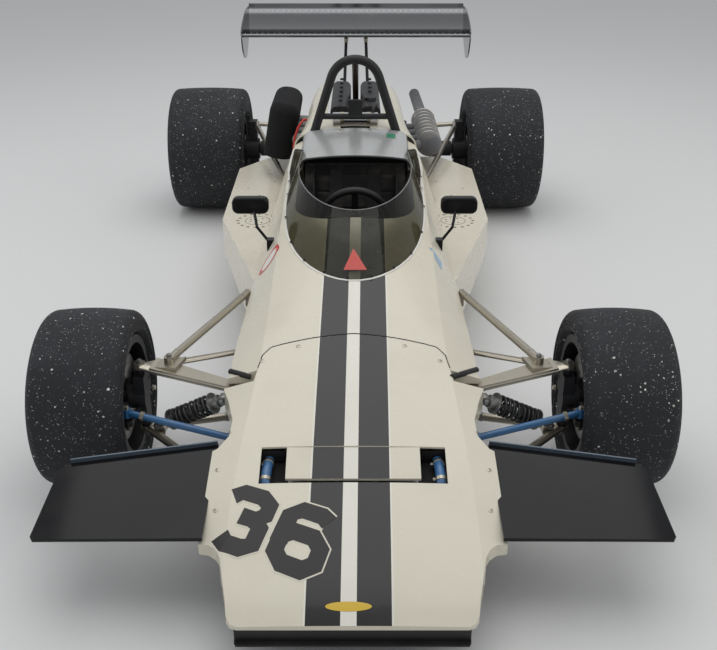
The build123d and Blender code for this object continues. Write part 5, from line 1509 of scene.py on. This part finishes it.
grip = bmesh.new()
stitches = bmesh.new()
boss = bmesh.new()
grip_line = [wheel_point(0.120, 2 * math.pi * step / grip_steps, 0.0) for step in range(grip_steps)]
tube(grip, grip_line, 0.0130, 14, closed=True)
for step in range(stitch_count):
    turn = 2 * math.pi * step / stitch_count
    stitch = [wheel_point(0.1072, turn, 0.0022), wheel_point(0.1072, turn + 0.02, -0.0022)]
    tube(stitches, stitch, 0.0007, 5)
boss_profile = [(0.0, 0.019), (0.019, 0.019), (0.022, 0.016), (0.030, 0.013), (0.030, 0.011)]
lathe(boss, boss_profile, wheel_centre, wheel_axis, 32)
for step in range(6):
    spot = wheel_point(0.0255, 2 * math.pi * step / 6, 0.0138)
    hex_head(boss, spot, wheel_axis, 0.006, 0.003, washer=False)
hole_rim = [(0.0075, -0.0003), (0.0080, 0.0006), (0.0065, 0.0006), (0.0060, -0.0003)]
for spoke_turn in (0, 180, 270):
    for reach in (0.050, 0.070, 0.090):
        lathe(boss, hole_rim, wheel_point(reach, math.radians(spoke_turn), 0.0031), wheel_axis, 18)
add_piece("wheel_grip", grip, "grip_leather", "steering", 60)
add_piece("wheel_stitches", stitches, "thread", "steering")
add_piece("wheel_boss", boss, "nickel", "steering")

# Controls: gear lever with its rod and knob, and the pedals
controls = bmesh.new()
knob = bmesh.new()
soft_box(controls, (-0.289, -0.235, 0.262), (-0.281, -0.165, 0.306), 0.003)
lever = [(-0.283, -0.200, 0.290), (-0.262, -0.200, 0.330), (-0.240, -0.196, 0.375), (-0.236, -0.194, 0.392)]
tube(controls, lever, 0.0055, 10)
tube(controls, [(-0.280, -0.200, 0.276), (-0.270, -0.200, 0.276)], 0.010, 16)
tube(controls, [(-0.274, -0.200, 0.270), (-0.276, 0.020, 0.240), (-0.276, 0.300, 0.210)], 0.006, 10)
knob_profile = [
    (0.0, 0.030), (0.008, 0.029), (0.0145, 0.022), (0.0160, 0.013),
    (0.0130, 0.004), (0.007, 0.0), (0.0, 0.0),
]
lathe(knob, knob_profile, (-0.236, -0.194, 0.388), (0.05, 0.02, 1), 24)
for across, tilt in ((-0.120, 0.02), (0.0, 0.0), (0.120, 0.0)):
    arm = [(across, -1.430, 0.092), (across, -1.405 + tilt, 0.150), (across, -1.398 + tilt, 0.165)]
    tube(controls, arm, 0.006, 8)
    left = across - 0.028
    right = across + 0.028
    soft_box(controls, (left, -1.400 + tilt, 0.135), (right, -1.394 + tilt, 0.190), 0.002)
    for step in range(5):
        soft_box(controls, (across - 0.024, -1.3945 + tilt, 0.143 + 0.010 * step),
                 (across + 0.024, -1.3925 + tilt, 0.146 + 0.010 * step), 0.0006, segments=1)
tube(controls, [(-0.18, -1.430, 0.095), (0.18, -1.430, 0.095)], 0.008, 10)
add_piece("pedals_and_lever", controls, "damper_metal", "chassis")
add_piece("lever_knob", knob, "black_gloss", "chassis")

# Seat pads: crowned quilted panels that lie on the seat's back and floor
seat_low = Vector((0, 0.062, 0.125))
seat_high = Vector((0, 0.146, 0.568))
seat_rise = (seat_high - seat_low).normalized()
pad_thickness = 0.016
pad_channels = 5
pad_columns = 44
pad_rows = 60
pad_skin = 0.001


def eased_edge(share, width):
    """Height of a rounded edge, from 0 at either end of a share to 1 inside the edge's width."""
    inward = min(1, min(share, 1 - share) / width)
    return math.sqrt(max(0.0, 1 - (1 - inward) ** 2))


def quilted_pad(origin, up, out, size, seed):
    """Pad with sewn channels, its sides pulled in between its corners."""
    builder = bmesh.new()
    rng = random.Random(seed)
    wrinkles = [(rng.uniform(0.2, 0.8), rng.uniform(0.1, 0.9), rng.uniform(0, 3.1)) for _ in range(9)]

    def place(u, v, height):
        """New vertex at a share across and up the pad, at a height over its base."""
        pull_u = 1 - 0.035 * math.sin(math.pi * v)
        pull_v = 1 - 0.025 * math.sin(math.pi * u)
        across = Vector((1, 0, 0)) * (u - 0.5) * size[0] * pull_u
        return builder.verts.new(origin + across + up * (v - 0.5) * size[1] * pull_v + out * height)

    front = []
    back = []
    for row in range(pad_rows + 1):
        line = []
        for column in range(pad_columns + 1):
            u = column / pad_columns
            v = row / pad_rows
            round_off = eased_edge(u, 0.10) * eased_edge(v, 0.08)
            phase = v * pad_channels
            nearest = abs(phase - round(phase))
            seam = math.exp(-(nearest / 0.055) ** 2) if 0.3 < phase < pad_channels - 0.3 else 0.0
            height = pad_thickness * round_off * (1 - 0.62 * seam) * (0.86 + 0.14 * math.sin(math.pi * u))
            for centre_u, centre_v, turn in wrinkles:
                du = (u - centre_u) * math.cos(turn) + (v - centre_v) * math.sin(turn)
                dv = (v - centre_v) * math.cos(turn) - (u - centre_u) * math.sin(turn)
                height -= 0.0009 * math.exp(-(du / 0.07) ** 2 - (dv / 0.012) ** 2) * round_off
            line.append(place(u, v, height))
        front.append(line)
    for row in range(pad_rows + 1):
        line = []
        for column in range(pad_columns + 1):
            if row in (0, pad_rows) or column in (0, pad_columns):
                line.append(front[row][column])
            else:
                line.append(place(column / pad_columns, row / pad_rows, -pad_skin))
        back.append(line)
    for row in range(pad_rows):
        for column in range(pad_columns):
            for sheet in (front, back):
                low, high = sheet[row], sheet[row + 1]
                corners = (low[column], low[column + 1], high[column + 1], high[column])
                if len(set(corners)) == 4 and builder.faces.get(corners) is None:
                    builder.faces.new(corners)
    return builder


base_rise = Vector((0, 1, -0.05)).normalized()
base_out = Vector((1, 0, 0)).cross(base_rise)
belt_out = Vector((0, -seat_rise.z, seat_rise.y))
# columns: piece, middle, rise, way out, size, seed
pads = [
    ("seat_back_pad", seat_low.lerp(seat_high, 0.55), seat_rise, belt_out.normalized(), (0.312, 0.33), 3),
    ("seat_base_pad", Vector((0, -0.19, 0.1085)), base_rise, base_out, (0.312, 0.38), 5),
]
for name, origin, up, out, size, seed in pads:
    builder = quilted_pad(origin + out * pad_skin, up, out, size, seed)
    pad = add_piece(name, builder, "seat_trim", "chassis", 75)

# Belts: webbing on the seat, with its adjusters and the buckle
belts = bmesh.new()
belt_metal = bmesh.new()
belt_width = 0.048
belt_thickness = 0.0026
belt_shift = 0.075
belt_foot = 0.36
belt_proud = 0.0195

# Outline of the webbing's section, in shares of its width and its thickness
belt_section = ((-0.5, 0.0), (-0.47, 0.5), (0.47, 0.5), (0.5, 0.0), (0.47, -0.5), (-0.47, -0.5))


def strap(points, width_axis):
    """Flat webbing along points, with rounded edges."""
    rings = []
    count = len(points)
    for index, point in enumerate(points):
        point = Vector(point)
        ahead = (Vector(points[min(index + 1, count - 1)]) - Vector(points[max(index - 1, 0)])).normalized()
        side = (Vector(width_axis) - ahead * Vector(width_axis).dot(ahead)).normalized()
        up = side.cross(ahead)
        ring = []
        for across, rise in belt_section:
            ring.append(belts.verts.new(point + side * across * belt_width + up * rise * belt_thickness))
        rings.append(ring)
    for low, high in zip(rings, rings[1:]):
        for step in range(len(belt_section)):
            after = (step + 1) % len(belt_section)
            belts.faces.new((low[step], low[after], high[after], high[step]))
    belts.faces.new(list(reversed(rings[0])))
    belts.faces.new(rings[-1])


def bowed_line(start, end, forward, rise):
    """Points from start to end that bow out between them."""
    line = []
    for step in range(14):
        part = step / 13
        bow = Vector((0, -forward * math.sin(math.pi * part), rise * math.sin(math.pi * part)))
        line.append(start.lerp(end, part) + bow)
    return line


for side in (-1, 1):
    shift = Vector((side * belt_shift, 0, 0))
    line = []
    for step in range(16):
        part = step / 15
        spot = seat_low.lerp(seat_high, belt_foot + 0.60 * part)
        proud = belt_proud if part < 0.75 else belt_proud - 0.012 * (part - 0.75) / 0.25
        line.append(spot + shift + belt_out * proud)
    strap(line, (1, 0, 0))
    foot = seat_low.lerp(seat_high, belt_foot) + shift + belt_out * belt_proud
    strap(bowed_line(foot, Vector((side * 0.020, -0.085, 0.205)), 0.012, 0.018), (1, 0.2, 0))
    hip = Vector((side * 0.158, 0.005, 0.145))
    strap(bowed_line(hip, Vector((side * 0.026, -0.090, 0.196)), 0.006, 0.022), (0, 0.35, 1))
    spot = seat_low.lerp(seat_high, 0.50) + shift + belt_out * 0.0225
    matrix = Matrix.Translation(spot) @ Matrix((
        (1, 0, 0, 0),
        (0, seat_rise.y, belt_out.y, 0),
        (0, seat_rise.z, belt_out.z, 0),
        (0, 0, 0, 1),
    ))
    for low, high in ((-0.029, -0.025), (0.025, 0.029)):
        soft_box(belt_metal, (low, -0.020, -0.002), (high, 0.020, 0.004), 0.001, matrix, 1)
    for along in (-0.018, 0.0, 0.018):
        start = along - 0.003
        end = along + 0.003
        soft_box(belt_metal, (-0.028, start, -0.001), (0.028, end, 0.005), 0.001, matrix, 1)
buckle = [(0.0, 0.014), (0.018, 0.014), (0.024, 0.012), (0.028, 0.006), (0.028, -0.004), (0.0, -0.004)]
lathe(belt_metal, buckle, (0, -0.094, 0.206), (0, -0.42, 0.9), 32)
add_piece("belt_webbing", belts, "belt", "chassis", 40)
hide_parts("harness")
add_piece("belt_fittings", belt_metal, "nickel", "chassis")

# Tail: lamp bezel and the catch tank's straps, cap and hose
tail = bmesh.new()
# columns: left, right, bottom and top edge of each bezel bar
bezel_bars = [
    (-0.039, -0.034, 0.301, 0.369),
    (0.034, 0.039, 0.301, 0.369),
    (-0.039, 0.039, 0.364, 0.369),
    (-0.039, 0.039, 0.301, 0.306),
]
for left, right, bottom, top in bezel_bars:
    soft_box(tail, (left, 1.688, bottom), (right, 1.697, top), 0.0015)
tank_band = [(0.0242, -0.008), (0.0255, -0.0075), (0.0255, 0.0075), (0.0242, 0.008)]
for side in (-1, 1):
    lathe(tail, tank_band, (side * 0.055, 0.402, 0.689), (1, 0, 0), 32)
tank_cap = [(0.0, 0.016), (0.012, 0.016), (0.014, 0.013), (0.014, 0.002), (0.011, 0.0), (0.0, 0.0)]
lathe(tail, tank_cap, (0.0, 0.402, 0.712), (0, 0, 1), 24)
add_piece("tail_and_tank_fittings", tail, "nickel", "chassis")
tank_hose = bmesh.new()
tube(tank_hose, [(0.070, 0.402, 0.712), (0.072, 0.408, 0.722), (0.076, 0.430, 0.728), (0.080, 0.470, 0.726),
                 (0.084, 0.500, 0.722), (0.088, 0.530, 0.716), (0.090, 0.548, 0.711)], 0.006, 10)
add_piece("tank_hose", tank_hose, "rubber_black", "chassis")

# Floor, light and camera
floor_mesh = bpy.data.meshes.new("floor")
floor_half = 30.0
floor_corners = [(x * floor_half, y * floor_half, 0) for x, y in ((-1, -1), (1, -1), (1, 1), (-1, 1))]
floor_mesh.from_pydata(floor_corners, [], [(0, 1, 2, 3)])
floor = bpy.data.objects.new("floor", floor_mesh)
bpy.context.scene.collection.objects.link(floor)
floor_paint, _, floor_shader = new_material("pale floor", roughness=0.75)
floor_shader.inputs["Base Color"].default_value = (0.74, 0.74, 0.73, 1.0)
floor.data.materials.append(floor_paint)

world = bpy.data.worlds.new("studio")
bpy.context.scene.world = world
world.use_nodes = True
world.node_tree.nodes["Background"].inputs["Color"].default_value = (0.95, 0.97, 1.0, 1.0)
world.node_tree.nodes["Background"].inputs["Strength"].default_value = 0.5


def area_light(name, place, aim, size, watts, tint=(1.0, 1.0, 1.0)):
    """Soft rectangular lamp that points at a place."""
    lamp = bpy.data.lights.new(name, "AREA")
    lamp.shape = "RECTANGLE"
    lamp.size = size[0]
    lamp.size_y = size[1]
    lamp.energy = watts
    lamp.color = tint
    holder = bpy.data.objects.new(name, lamp)
    holder.location = place
    holder.rotation_mode = "QUATERNION"
    holder.rotation_quaternion = (Vector(aim) - Vector(place)).to_track_quat("-Z", "Y")
    bpy.context.scene.collection.objects.link(holder)


area_light("overhead softbox", (0.0, 0.4, 5.2), (0, 0, 0), (5.0, 7.0), 120)
area_light("left softbox", (5.0, -2.5, 3.4), (0, 0, 0.3), (3.0, 3.0), 42, (1.0, 0.98, 0.95))
area_light("right softbox", (-5.0, -1.0, 3.0), (0, 0, 0.3), (3.0, 3.0), 32, (0.95, 0.98, 1.0))

camera_data = bpy.data.cameras.new("camera")
camera_data.sensor_width = camera_sensor
camera_data.lens = camera_lens
camera_data.clip_end = 200.0
camera = bpy.data.objects.new("camera", camera_data)
camera.location = camera_place
camera.rotation_euler = (camera_tilt, 0.0, 0.0)
bpy.context.scene.collection.objects.link(camera)
bpy.context.scene.camera = camera
bpy.context.scene.view_settings.view_transform = "Standard"
